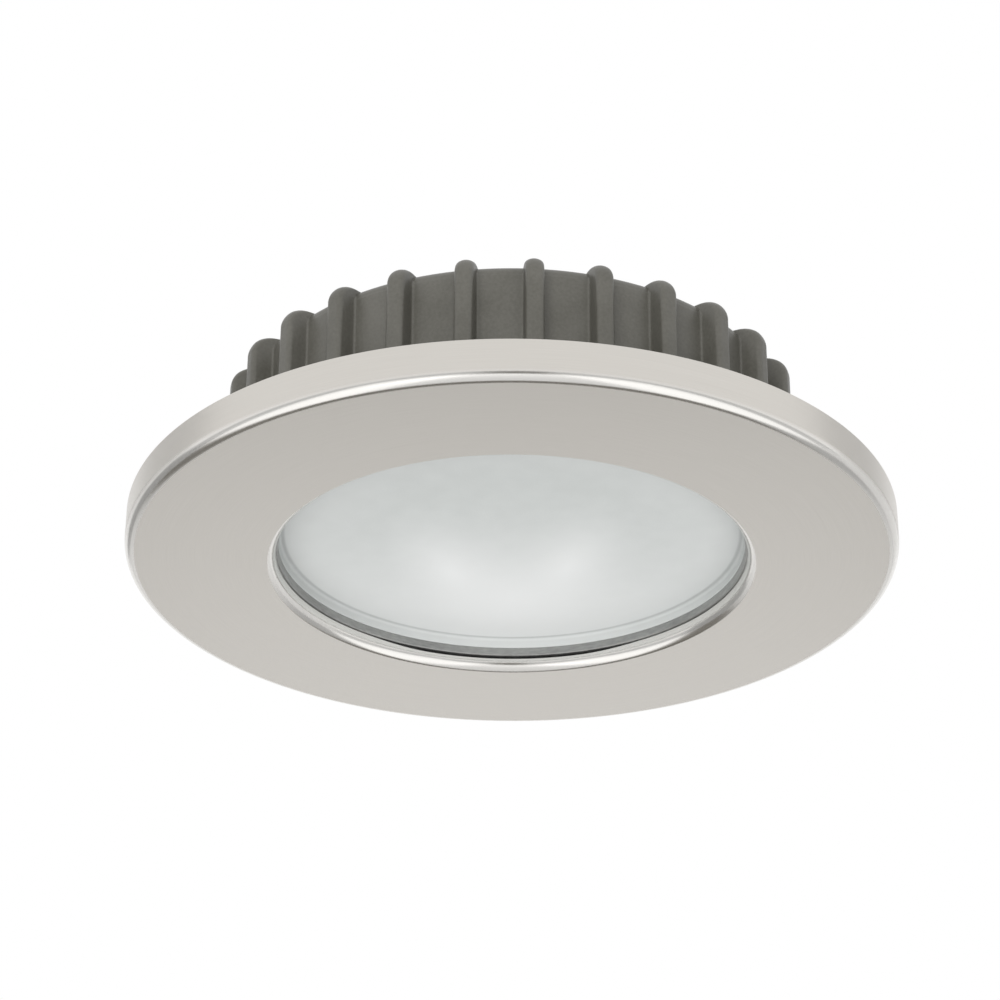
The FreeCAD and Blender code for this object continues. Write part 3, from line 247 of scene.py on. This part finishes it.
# The wall between the ribs, and the bends by which it and the crests turn in over the top.
WEB, WALL_FOOT, HOUSING_TOP = 40.3, -0.1, 23.0
WEB_BEND, CREST_BEND = 2.25, 3.1
ARCH_RUN = 3.0
# Where the cable gland's axis stands, as (x, y).
GLAND = (0.0, 14.0)


def rib_columns():
    """Half a pitch of the wall, from a rib's middle to the middle of the web: how far each column stands to
    the side, how far below the crest, and how far it has gone over the web.
    Edge: side = flat + e sin a, drop = e - e cos a. Then a column half way down the flank, and the foot, a
    quarter circle turned the other way."""
    flat = RIB_HALF - RIB_EDGE
    edge = np.linspace(0, np.pi / 2, 8)
    foot = np.linspace(0, np.pi / 2, 5)
    side = np.r_[0, flat / 2, flat + RIB_EDGE * np.sin(edge), RIB_HALF,
                 RIB_HALF + RIB_FILLET * (1 - np.cos(foot)), np.full(5, RIB_HALF + RIB_FILLET)]
    drop = np.r_[0, 0, RIB_EDGE - RIB_EDGE * np.cos(edge), 2.1,
                 RIB_HIGH - RIB_FILLET * (1 - np.sin(foot)), np.full(5, RIB_HIGH)]
    over = np.r_[np.zeros(16), np.linspace(0.06, 1, 5)]
    return side, drop, over


def ribbed_wall(web, crest, arched):
    """Rows of the ribbed wall. Web and crest are the same rows' (radius, height) between the ribs and on
    them. A column lies below the crest by its drop, at most down to the web, at azimuth asin(side / radius)
    from the rib's middle, with a radius of at least 36 where a row runs in to the axis. Towards the top,
    arched goes from 0 to 1 and the crest's section becomes a half circle: drop = b - sqrt(b^2 - side^2), with
    b half the rib's width."""
    side, drop, over = rib_columns()
    round_drop = RIB_HALF - np.sqrt(np.maximum(RIB_HALF ** 2 - side ** 2, 0))
    round_drop = np.where(side < RIB_HALF - 1e-6, round_drop, np.maximum(drop, RIB_HALF))
    drops = drop + (round_drop - drop) * arched[:, None]
    depth = np.linalg.norm(crest - web, axis=1)
    down = (web - crest) / np.maximum(depth, 1e-9)[:, None]
    drops = np.minimum(drops, depth[:, None])
    place = crest[:, None] + down[:, None] * drops[..., None]
    foot = np.arcsin(side / np.maximum(place[..., 0], 36.0))
    pitch = np.pi / RIBS
    turn = foot + over * (pitch - foot)
    turn = np.concatenate([-turn[:, :0:-1], turn], 1)
    place = np.concatenate([place[:, :0:-1], place], 1)
    azimuth = turn[:, None, :] + np.radians(RIB_FIRST) + (2 * pitch * np.arange(RIBS))[None, :, None]
    radius = np.broadcast_to(place[:, None, :, 0], azimuth.shape)
    height = np.broadcast_to(place[:, None, :, 1], azimuth.shape)
    grid = np.stack([radius * np.cos(azimuth), radius * np.sin(azimuth), height], -1)
    return grid[:, :, 1:].reshape(len(web), -1, 3)


def housing_rows():
    """The casting's profile from the middle of the ceiling outwards, down the cup, round the flange, up the
    ribbed wall and in over the top, and how far each row's crest is arched. On the wall, web and crest
    differ; elsewhere they are the same. Over the top, each follows a quarter circle about (in, up), and the
    crest then a straight run, in even steps of the way gone."""
    inside = rounded([
        (0, 20.5, 0), (34.3, 20.5, 1.5), (34.3, 9.5, 0.2), (36.3, 9.5, 0.3), (36.3, 0.4, 0.15),
        (38.8, 0.4, 0.2), (38.8, -2.3, 0.15), (44.4, -2.3, 0.2), (44.4, -3.8, 0.25), (54.0, -3.8, 0.4),
        (54.0, -4.8, 0.25), (55.9, -4.8, 0.4), (55.9, -1.2, 0.4), (44.4, -1.2, 0.3),
        (44.4, WALL_FOOT, 0.25), (43.95, WALL_FOOT, 0),
    ], closed=False, steps=4)
    web_in, web_up = WEB - WEB_BEND, HOUSING_TOP - WEB_BEND
    crest_in, crest_up = WEB + RIB_HIGH - CREST_BEND, HOUSING_TOP - CREST_BEND
    rise = np.linspace(0, 1, 6)
    up_web = np.c_[np.full(6, WEB), WALL_FOOT + (web_up - WALL_FOOT) * rise]
    up_crest = np.c_[np.full(6, WEB + RIB_HIGH), WALL_FOOT + (crest_up - WALL_FOOT) * rise]
    share = np.linspace(0, 1, 18)[1:]
    bend = np.pi / 2 * share
    over_web = np.c_[web_in + WEB_BEND * np.cos(bend), web_up + WEB_BEND * np.sin(bend)]
    quarter = CREST_BEND * np.pi / 2
    way = share * (quarter + crest_in - web_in)
    arc = np.minimum(way, quarter) / CREST_BEND
    run = np.maximum(way - quarter, 0)
    over_crest = np.c_[crest_in + CREST_BEND * np.cos(arc) - run, crest_up + CREST_BEND * np.sin(arc)]
    top = np.array([(37.9, HOUSING_TOP), (26, HOUSING_TOP), (9, HOUSING_TOP), (0, HOUSING_TOP)])
    web, crest = np.r_[inside, up_web, over_web, top], np.r_[inside, up_crest, over_crest, top]
    arched = np.r_[np.zeros(len(inside) + 6), np.minimum(way / ARCH_RUN, 1), np.ones(len(top))]
    return web, crest, arched


def around(shape, count, first=0.0):
    """A grid repeated evenly round the light's axis."""
    return [spun(shape, first + 360 / count * step) for step in range(count)]


housing = skin("housing_casting", ribbed_wall(*housing_rows()))
mount_hole = turned(np.array([(0, -4.3), (4.7, -4.3), (2.2, -1.8), (2.2, -0.5), (0, -0.5)]), 48, (49.5, 0))
bow_notch = lifted([(54.3, -4.7), (58, -4.7), (58, 4.7), (54.3, 4.7)], -5.5, -0.5)
leg_notch = lifted([(53.3, -4.7), (58, -4.7), (58, 4.7), (53.3, 4.7)], -5.5, -3.8)
gland_hole = turned(np.array([(0, 19), (6.1, 19), (6.1, 24), (0, 24)]), 64, GLAND)
cut_away(housing, skin("mount_holes", around(mount_hole, 4) + [gland_hole]))
cut_away(housing, skin("bow_notches", around(bow_notch, 4, 45)))
cut_away(housing, skin("leg_notches", around(leg_notch, 4, 45)))
powder_coat = finish("powder_coat", (0.081, 0.078, 0.065), (0.119, 0.115, 0.100), (0.34, 0.46), 0.45,
                     bump=0.3, relief=0.03)
stand_for(housing, "heat_sink_housing", powder_coat)


# ---------------------------------------------------------------- cable gland
# A black nylon gland on the housing's top: threaded body with a hexagon, seal ring under it, lock nut inside
# the housing, rubber bush round the cable, and a dome nut that squeezes the bush.
# Half the width across the hexagon's flats, and a number past every radius, for rows that stay round.
FLAT, ROUND = 8.5, 99


def hexed(profile, flats, columns=180):
    """A turned shape whose rows may be hexagonal. A row's radius is the smaller of its own and the hexagon's,
    flat / cos(azimuth from the nearest flat's middle), so that a larger own radius leaves flats with
    chamfered corners. flats gives each row's half width across flats, or a large number where it is round."""
    grid = turned(profile, columns, GLAND)
    azimuth = np.linspace(0, 2 * np.pi, columns, endpoint=False)
    from_flat = (azimuth + np.pi / 6) % (np.pi / 3) - np.pi / 6
    limit = np.asarray(flats, float)[:, None] / np.cos(from_flat)[None, :]
    radius = np.minimum(profile[:, :1], limit)
    flat = np.stack([GLAND[0] + radius * np.cos(azimuth), GLAND[1] + radius * np.sin(azimuth)], 2)
    return np.concatenate([flat, grid[..., 2:]], 2)


black_nylon = finish("black_nylon", (0.018, 0.018, 0.019), (0.030, 0.030, 0.031), (0.38, 0.52), 0.8,
                     bump=0.2, relief=0.02)
body_profile = rounded([
    (3.8, 16.3, 0.2), (6.0, 16.3, 0.5), (6.0, 24.2, 0), (9.4, 24.2, 0.7), (9.8, 24.7, 0.4), (9.8, 28.2, 0.4),
    (9.4, 28.7, 0.5), (5.6, 28.7, 0), (5.6, 36.7, 0.3), (4.4, 36.7, 0.2), (4.4, 30.0, 0), (3.8, 30.0, 0),
])
body_flats = np.where(body_profile[:, 0] > 7, FLAT, ROUND)
gland_body = skin("gland_body_moulding", hexed(body_profile, body_flats), closed=True)
stand_for(gland_body, "gland_body", black_nylon)

dome_profile = rounded([
    (5.63, 29.0, 0.2), (9.3, 29.0, 0.6), (9.8, 29.6, 0.4), (9.8, 34.0, 0.5), (8.6, 34.9, 0.4),
    (8.5, 41.0, 3.6), (3.6, 41.0, 0.6), (3.6, 37.0, 0.1), (5.63, 37.0, 0.1),
], steps=10)
dome_flats = np.where(dome_profile[:, 1] < 34.6, FLAT, ROUND)
dome = skin("gland_dome_moulding", hexed(dome_profile, dome_flats), closed=True)
stand_for(dome, "gland_dome_nut", black_nylon)

nitrile = finish("nitrile", (0.012, 0.012, 0.012), (0.022, 0.022, 0.022), (0.6, 0.75), 0.5, bump=0.3)
o_ring_profile = rounded([(6.1, 23.0, 0.3), (8.1, 23.0, 0.55), (8.1, 24.2, 0.55), (6.1, 24.2, 0.3)])
o_ring = skin("gland_seal_ring", turned(o_ring_profile, 96, GLAND), closed=True)
stand_for(o_ring, "gland_o_ring", nitrile)
bush_profile = rounded([(2.75, 30.0, 0.3), (4.3, 30.0, 0.3), (4.3, 37.0, 0.3), (2.75, 37.0, 0.5)])
bush = skin("gland_rubber_bush", turned(bush_profile, 96, GLAND), closed=True)
stand_for(bush, "gland_seal", nitrile)
dress("gland_lock_nut", black_nylon)


# ---------------------------------------------------------------- driver
# A round green circuit board on three brass spacers above the spreader: inductor, two lying capacitors,
# chip, diode bridge and terminal block, with a clear insulating sheet between it and the ceiling.
zinc = finish("zinc_plate", (0.52, 0.52, 0.50), (0.66, 0.66, 0.63), (0.25, 0.4), 0.5, metal=1.0, bump=0.15)
brass = finish("turned_brass", (0.58, 0.42, 0.16), (0.70, 0.53, 0.24), (0.22, 0.35), 0.3, metal=1.0,
               stretch=(1, 1, 0.2), bump=0.1)
dress("driver_insulator", finish("clear_sheet", (0.62, 0.62, 0.56), (0.72, 0.72, 0.66), (0.3, 0.4), 5.0))
dress("board_standoffs", brass)
dress("driver_board", finish("green_mask", (0.012, 0.10, 0.035), (0.022, 0.15, 0.055), (0.3, 0.42), 2.5,
                             bump=0.1))
dress("driver_board_screws", zinc)
dress("driver_inductor", finish("ferrite", (0.025, 0.025, 0.027), (0.05, 0.05, 0.05), (0.6, 0.8), 0.4,
                                bump=0.4))
dress("driver_capacitors", finish("can_sleeve", (0.012, 0.016, 0.035), (0.02, 0.026, 0.05), (0.2, 0.3), 3.0))
moulded_black = finish("moulded_black", (0.018, 0.018, 0.018), (0.032, 0.032, 0.032), (0.55, 0.7), 0.3,
                       bump=0.3)
dress("driver_chip", moulded_black)
dress("driver_diodes", moulded_black)
dress("supply_terminal", finish("terminal_green", (0.02, 0.13, 0.04), (0.035, 0.18, 0.06), (0.3, 0.45), 1.5))
dress("terminal_screws", zinc)
dress("board_link_pins", brass)
dress("link_pin_bush", finish("white_nylon", (0.62, 0.62, 0.58), (0.72, 0.72, 0.68), (0.4, 0.55), 1.0))


# ---------------------------------------------------------------- heat spreader and light engine
# A turned aluminium disc screwed up against the ledge. Below it lie a soft thermal pad, the white
# aluminium-core board and its nine surface-mount LEDs.
dress("heat_spreader", finish("turned_aluminium", (0.60, 0.60, 0.61), (0.72, 0.72, 0.73), (0.25, 0.4), 0.4,
                              metal=1.0, bump=0.1))
dress("heat_spreader_screws", zinc)
dress("thermal_pad", finish("pad_silicone", (0.22, 0.30, 0.38), (0.28, 0.36, 0.44), (0.7, 0.85), 0.8,
                            bump=0.3))
dress("led_board", finish("white_mask", (0.72, 0.72, 0.70), (0.80, 0.80, 0.78), (0.35, 0.5), 2.0))
dress("led_board_screws", zinc)
dress("led_emitters", finish("phosphor", (0.78, 0.60, 0.16), (0.86, 0.70, 0.24), (0.35, 0.5), 0.3))


# ---------------------------------------------------------------- reflector
# A white moulded cone between the LED board and the lens. The board's screws clamp its flat floor.
dress("reflector", finish("white_moulding", (0.76, 0.76, 0.75), (0.84, 0.84, 0.83), (0.3, 0.45), 1.5))


# ---------------------------------------------------------------- lens and its seal
# A frosted moulded lens: a shallow dish with a flange round it, which the retaining ring clamps against a
# clear silicone ring. Soft highlights, light towards the face's edge and shade in the crease round the face
# are painted into its colour.


def from_axis(material, place):
    """The level part of a point's place, and its distance from the light's axis."""
    nodes = material.node_tree.nodes
    level = nodes.new("ShaderNodeVectorMath")
    level.operation = "MULTIPLY"
    level.inputs[1].default_value = (1, 1, 0)
    wire(material, place.outputs["Object"], level.inputs[0])
    reach = nodes.new("ShaderNodeVectorMath")
    reach.operation = "LENGTH"
    wire(material, level.outputs["Vector"], reach.inputs[0])
    return level.outputs["Vector"], reach.outputs["Value"]


def radius_steps(material, reach, steps):
    """A value by distance from the light's axis, given as (millimetres, value) steps."""
    nodes = material.node_tree.nodes
    first, last = steps[0][0], steps[-1][0]
    span = nodes.new("ShaderNodeMapRange")
    span.inputs["From Min"].default_value = first * 0.001
    span.inputs["From Max"].default_value = last * 0.001
    wire(material, reach, span.inputs["Value"])
    curve = nodes.new("ShaderNodeValToRGB")
    marks = curve.color_ramp.elements
    while len(marks) < len(steps):
        marks.new(0.5)
    for mark, (distance, value) in zip(marks, steps):
        mark.position = (distance - first) / (last - first)
        mark.color = (value, value, value, 1)
    wire(material, span.outputs["Result"], curve.inputs["Fac"])
    return curve.outputs["Color"]


def blended(material, factor, first, second):
    """Mixes two values, each a socket or a plain (r, g, b), by a factor socket."""
    mix = material.node_tree.nodes.new("ShaderNodeMix")
    mix.data_type = "RGBA"
    wire(material, factor, mix.inputs["Factor"])
    for socket, value in ((mix.inputs[6], first), (mix.inputs[7], second)):
        if isinstance(value, tuple):
            socket.default_value = (*value, 1)
        else:
            wire(material, value, socket)
    return mix.outputs[2]


# The white of the painted highlights and of the painted light at the face's edge, and the grey of the painted
# shade in the crease.
PAINTED_LIGHT_WHITE, PAINTED_SHADE_GREY = (0.80, 0.81, 0.805), (0.30, 0.31, 0.305)
# Each painted highlight: middle, reach along its own axes, lean in degrees, strength.
PAINTED_HIGHLIGHTS = [((-9.0, 11.0, 0), (12, 26, 20), -17, 0.9), ((8.5, 9.0, 0), (11, 26, 20), 14, 0.85),
          ((0.0, 20.0, 0), (34, 34, 30), 0, 0.85), ((0.0, 25.0, 0), (80, 50, 30), 0, 0.55)]
# Painted light towards the face's edge, and painted shade in the crease where the face turns into the wall.
EDGE_LIGHT_STEPS = [(20, 0), (33.4, 0.3), (34.2, 0.3), (34.5, 0)]
CREASE_SHADE_STEPS = [(33.9, 0), (34.25, 0.45), (34.5, 0.45), (34.75, 0.22)]


def frosted():
    """The frosted lens: a cool pale body with a fine etched grain, soft highlights painted into its colour at
    fixed places on its face, painted light towards the face's edge, and a thin line of painted shade in the
    crease where its face turns into its wall. It lets no light through.
    A highlight falls off as (1 - distance / reach) squared."""
    material = finish("frosted_lens", (0.54, 0.562, 0.550), (0.58, 0.602, 0.590), (0.42, 0.55), 0.25,
                      bump=0.2, relief=0.02)
    nodes = material.node_tree.nodes
    shader = nodes["Principled BSDF"]
    place = next(node for node in nodes if node.type == "TEX_COORD")
    colour = shader.inputs["Base Color"].links[0].from_socket
    # Paints each soft highlight into the lens's colour, strongest at its middle.
    for middle, reach, lean, strength in PAINTED_HIGHLIGHTS:
        fit = nodes.new("ShaderNodeMapping")
        fit.vector_type = "TEXTURE"
        fit.inputs["Location"].default_value = [0.001 * side for side in middle]
        fit.inputs["Rotation"].default_value = (0, 0, np.radians(lean))
        fit.inputs["Scale"].default_value = [0.001 * side for side in reach]
        wire(material, place.outputs["Object"], fit.inputs["Vector"])
        highlight_falloff = nodes.new("ShaderNodeTexGradient")
        highlight_falloff.gradient_type = "QUADRATIC_SPHERE"
        wire(material, fit.outputs["Vector"], highlight_falloff.inputs["Vector"])
        share = reckoned(material, "MULTIPLY", highlight_falloff.outputs["Fac"], strength)
        colour = blended(material, share, colour, PAINTED_LIGHT_WHITE)
    reach = from_axis(material, place)[1]
    # Painted light towards the face's edge.
    colour = blended(material, radius_steps(material, reach, EDGE_LIGHT_STEPS), colour, PAINTED_LIGHT_WHITE)
    # Painted shade in the crease where the face turns into the wall.
    colour = blended(material, radius_steps(material, reach, CREASE_SHADE_STEPS), colour, PAINTED_SHADE_GREY)
    wire(material, colour, shader.inputs["Base Color"])
    shader.inputs["IOR"].default_value = 1.49
    return material


lens_profile = rounded([
    (0, -0.7, 0), (34.9, -0.7, 0.5), (34.9, -2.3, 0.25), (38.5, -2.3, 0.2), (38.5, -1.1, 0.2),
    (36.1, -1.1, 0.3), (36.1, 0.5, 0.8), (0, 0.5, 0),
], closed=False, steps=8)
lens = skin("lens_dish", turned(lens_profile))
stand_for(lens, "lens", frosted())
dress("lens_seal", finish("clear_silicone", (0.55, 0.56, 0.56), (0.64, 0.65, 0.65), (0.35, 0.5), 0.8,
                          bump=0.2))


# ---------------------------------------------------------------- retaining ring
# A satin grey turned ring, screwed up into the casting by six countersunk screws. Its bore is the grey wall
# between the rim's lip and the lens.
ring_profile = rounded([(34.9, -3.6, 0.2), (44.2, -3.6, 0.2), (44.2, -2.3, 0.15), (34.9, -2.3, 0.1)], steps=4)
ring = skin("lens_ring", turned(ring_profile), closed=True)
screw_hole = turned(np.array([(0, -4.0), (2.6, -4.0), (1.4, -2.8), (1.4, -2.0), (0, -2.0)]), 40, (41.35, 0))
cut_away(ring, skin("ring_holes", around(screw_hole, 6, 15)))
satin_grey = finish("satin_grey", (0.26, 0.262, 0.256), (0.44, 0.442, 0.43), (0.3, 0.45), 1.2, metal=0.8,
                    stretch=(1, 1, 0.3), bump=0.15)
stand_for(ring, "lens_retaining_ring", satin_grey)
dress("retaining_ring_screws", zinc)


# ---------------------------------------------------------------- flange gasket
# A die-cut ring of black closed-cell foam between the flange and the soffit, with a hole for each
# mounting screw.
foam_profile = rounded([(44.8, -1.2, 0.1), (53.0, -1.2, 0.1), (53.0, 0.0, 0.25), (44.8, 0.0, 0.25)], steps=4)
gasket = skin("foam_ring", turned(foam_profile), closed=True)
foam_hole = turned(np.array([(0, -2.0), (2.6, -2.0), (2.6, 1.0), (0, 1.0)]), 40, (49.5, 0))
cut_away(gasket, skin("foam_holes", around(foam_hole, 4)))
foam = finish("black_foam", (0.012, 0.012, 0.012), (0.030, 0.030, 0.030), (0.8, 0.95), 0.5, bump=0.9,
              relief=0.15)
stand_for(gasket, "flange_gasket", foam)


# ---------------------------------------------------------------- grip springs
# Four bent strips of spring steel that hook over the flange's edge; the rim is pushed up over them.
dress("rim_grip_springs", finish("spring_steel", (0.42, 0.42, 0.41), (0.56, 0.56, 0.55), (0.2, 0.32), 0.3,
                                 metal=1.0, stretch=(1, 1, 6), bump=0.1))


# ---------------------------------------------------------------- trim rim
# A rim pressed from 0.8 mm stainless sheet: wall, small outer bend, face, and a lip rolled up round the
# opening. Wall and face are brushed, the bends between them polished. Friction holds the rim, and it pulls
# straight down.
STEEL_DARK, STEEL_LIGHT = (0.625, 0.600, 0.560), (0.675, 0.650, 0.610)
STEEL_POLISHED = (0.79, 0.775, 0.745)
# Polish by distance from the axis: the lip's bend, and the outer bend.
POLISH_STEPS = [(34, 1), (36.32, 1), (36.44, 0), (55.97, 0), (56.13, 1), (57.36, 1), (57.49, 0)]
STROKE_WIDTH = 0.16


def pressed_steel():
    """Stainless steel: the strokes follow their circles, because the noise is read at (direction, radius +
    height), fine across the strokes and long along them. The bends are smoother and brighter."""
    material = bpy.data.materials.new("pressed_steel")
    material.use_nodes = True
    nodes = material.node_tree.nodes
    shader = nodes["Principled BSDF"]
    shader.inputs["Metallic"].default_value = 1.0
    place = nodes.new("ShaderNodeTexCoord")
    level, reach = from_axis(material, place)
    heading = nodes.new("ShaderNodeVectorMath")
    heading.operation = "NORMALIZE"
    wire(material, level, heading.inputs[0])
    parts = nodes.new("ShaderNodeSeparateXYZ")
    wire(material, place.outputs["Object"], parts.inputs[0])
    across = reckoned(material, "ADD", reach, parts.outputs["Z"])
    noise = nodes.new("ShaderNodeTexNoise")
    noise.noise_dimensions = "4D"
    noise.inputs["Scale"].default_value = 5.0
    noise.inputs["Detail"].default_value = 2.0
    wire(material, heading.outputs["Vector"], noise.inputs["Vector"])
    wire(material, reckoned(material, "MULTIPLY", across, 1000.0 / STROKE_WIDTH), noise.inputs["W"])
    strokes = noise.outputs["Fac"]
    polish = radius_steps(material, reach, POLISH_STEPS)
    brushed = toned(material, strokes, STEEL_DARK, STEEL_LIGHT)
    wire(material, blended(material, polish, brushed, STEEL_POLISHED), shader.inputs["Base Color"])
    rough = ranged(material, strokes, 0.26, 0.34)
    smooth = ranged(material, strokes, 0.17, 0.24)
    wire(material, blended(material, polish, rough, smooth), shader.inputs["Roughness"])
    raised(material, strokes, 0.15, 0.01)
    return material


def uneven_lip(grid, rise=0.34, back=91.5, gap=20.0, fade=20.0):
    """The lip's cut edge stands a little higher except at the back, where a dark gap shows under the ring.
    The lift is rise x smoothstep((degrees from the back - gap) / fade), and fades down the lip, from all of it
    at a height of -4.1 to none at -4.8."""
    azimuth = np.degrees(np.arctan2(grid[..., 1], grid[..., 0]))
    away = np.abs((azimuth - back + 180) % 360 - 180)
    share = np.clip((away - gap) / fade, 0, 1)
    lip = np.clip((grid[..., 2] + 4.8) / 0.7, 0, 1) * (np.hypot(grid[..., 0], grid[..., 1]) < 36.2)
    lifted_lip = grid.copy()
    lifted_lip[..., 2] += rise * share ** 2 * (3 - 2 * share) * lip
    return lifted_lip


rim_profile = rounded([
    (57.5, -5.9, 1.55), (57.5, 0.0, 0.12), (56.7, 0.0, 0.12), (56.7, -5.1, 0.35), (36.0, -5.1, 0.25),
    (36.0, -4.0, 0.12), (35.2, -4.0, 0.12), (35.2, -5.445, 1.85), (36.45, -5.9, 0.05),
], steps=12)
rim = skin("rim_pressing", uneven_lip(turned(rim_profile, 360)), closed=True)
stand_for(rim, "trim_rim", pressed_steel(), "rim")


# ---------------------------------------------------------------- room
# A pale floor below the light, a white room all round, large soft lamps, and cards from dark to white that
# only show as reflections, above all in the rim's bright bends.


def lamp(name, place, aim, size, power, glossy=True, depth=None):
    """A soft lamp that points from its place to its aim, square unless it has a depth of its own."""
    light = bpy.data.lights.new(name, "AREA")
    light.shape = "RECTANGLE"
    light.size = size
    light.size_y = depth or size
    light.energy = power
    holder = bpy.data.objects.new(name, light)
    holder.visible_camera = False
    holder.visible_glossy = glossy
    towards = np.array(aim, float) - np.array(place, float)
    towards /= np.linalg.norm(towards)
    side = np.cross(towards, (0, 0.001, 1.0))
    side /= np.linalg.norm(side)
    up = np.cross(side, towards)
    holder.matrix_world = Matrix([(*row, spot) for row, spot in zip(np.c_[side, up, -towards], place)]
                                 + [(0, 0, 0, 1)])
    bpy.context.scene.collection.objects.link(holder)


lamp("front_lamp", (-0.15, -0.9, -0.2), (0, 0, 0), 0.6, 5.5, glossy=False)
lamp("back_floor_lamp", (0.0, 1.5, 0.6), (0, 1.5, -0.62), 1.2, 11.8, glossy=False)
lamp("left_box", (-0.45, -0.34, -0.5), (-0.45, -0.339, 0), 0.58, 1.0, depth=1.1)
lamp("right_box", (0.45, -0.34, -0.5), (0.45, -0.339, 0), 0.58, 1.05, depth=1.1)

floor = skin("floor", lifted([(-3000, -3000), (3000, -3000), (3000, 3000), (-3000, 3000)], -624, -620))
floor.data.materials.append(finish("pale_floor", (0.76, 0.76, 0.76), (0.80, 0.80, 0.80), (0.7, 0.8), 300.0))


def card(name, near_left, far_right, heights, material):
    """A card between two corners (x, y) and two heights. It only shows in reflections: it casts no shadow and
    lights nothing."""
    (left, near), (right, far) = near_left, far_right
    piece = skin(name, lifted([(left, near), (right, near), (right, far), (left, far)], *heights))
    piece.data.materials.append(material)
    piece.visible_camera = False
    piece.visible_diffuse = False
    piece.visible_shadow = False


dark_card = finish("dark_card", (0.155, 0.146, 0.128), (0.175, 0.166, 0.148), (0.8, 0.9), 20.0)
grey_card, mid_card, pale_card, white_card = (
    finish(name, (tone,) * 3, (tone + 0.04,) * 3, (0.8, 0.9), 20.0)
    for name, tone in (("grey_card", 0.36), ("mid_card", 0.42), ("pale_card", 0.56), ("white_card", 0.74)))
LYING = (-600, -595)
card("eye_card", (-110, -905), (150, -900), (-590, -190), dark_card)
card("dark_floor", (-850, 190), (270, 770), LYING, dark_card)
card("grey_floor", (271, 190), (850, 770), LYING, mid_card)
card("left_floor", (-850, 771), (-280, 1300), LYING, pale_card)
card("right_floor", (280, 771), (850, 1300), LYING, pale_card)
card("left_low_side", (-865, 120), (-860, 1400), (-590, -60), grey_card)
card("left_side", (-865, 120), (-860, 1400), (-59, 650), white_card)
card("right_side", (860, 120), (865, 1400), (-590, 650), white_card)

# The room gives a soft fill of 0.7, and shows as plain white to the camera and in reflections.
world = bpy.data.worlds.new("white_room")
bpy.context.scene.world = world
world.use_nodes = True
nodes = world.node_tree.nodes
nodes.clear()
rays = nodes.new("ShaderNodeLightPath")
seen = reckoned(world, "MAXIMUM", rays.outputs["Is Camera Ray"], rays.outputs["Is Glossy Ray"])
seen = reckoned(world, "MAXIMUM", seen, rays.outputs["Is Transmission Ray"])
choose = nodes.new("ShaderNodeMixShader")
wire(world, seen, choose.inputs[0])
for socket, strength in ((choose.inputs[1], 0.7), (choose.inputs[2], 1.0)):
    glow = nodes.new("ShaderNodeBackground")
    glow.inputs["Color"].default_value = (1, 1, 1, 1)
    glow.inputs["Strength"].default_value = strength
    wire(world, glow.outputs[0], socket)
wire(world, choose.outputs[0], nodes.new("ShaderNodeOutputWorld").inputs["Surface"])


# ---------------------------------------------------------------- camera
# Below and in front of the light, looking up at it by 27.8 degrees. Its place comes from fitting the ellipses
# of the rim and of its opening.
PITCH, YAW, ROLL = np.radians((27.838, 0.0807, 0.2837))
ahead = np.array([np.sin(YAW) * np.cos(PITCH), np.cos(YAW) * np.cos(PITCH), np.sin(PITCH)])
level = np.array([np.cos(YAW), -np.sin(YAW), 0.0])
upright = np.cross(level, ahead)
right = level * np.cos(ROLL) + upright * np.sin(ROLL)
upward = upright * np.cos(ROLL) - level * np.sin(ROLL)
eye = np.array([-0.002304, -0.367720, -0.187936])
camera = bpy.data.objects.new("camera", bpy.data.cameras.new("camera"))
camera.data.sensor_width = 36.0
camera.data.lens = 98.87
camera.matrix_world = Matrix([(*row, spot) for row, spot in zip(np.c_[right, upward, -ahead], eye)]
                             + [(0, 0, 0, 1)])
bpy.context.scene.collection.objects.link(camera)
bpy.context.scene.camera = camera
bpy.context.scene.view_settings.view_transform = "Standard"
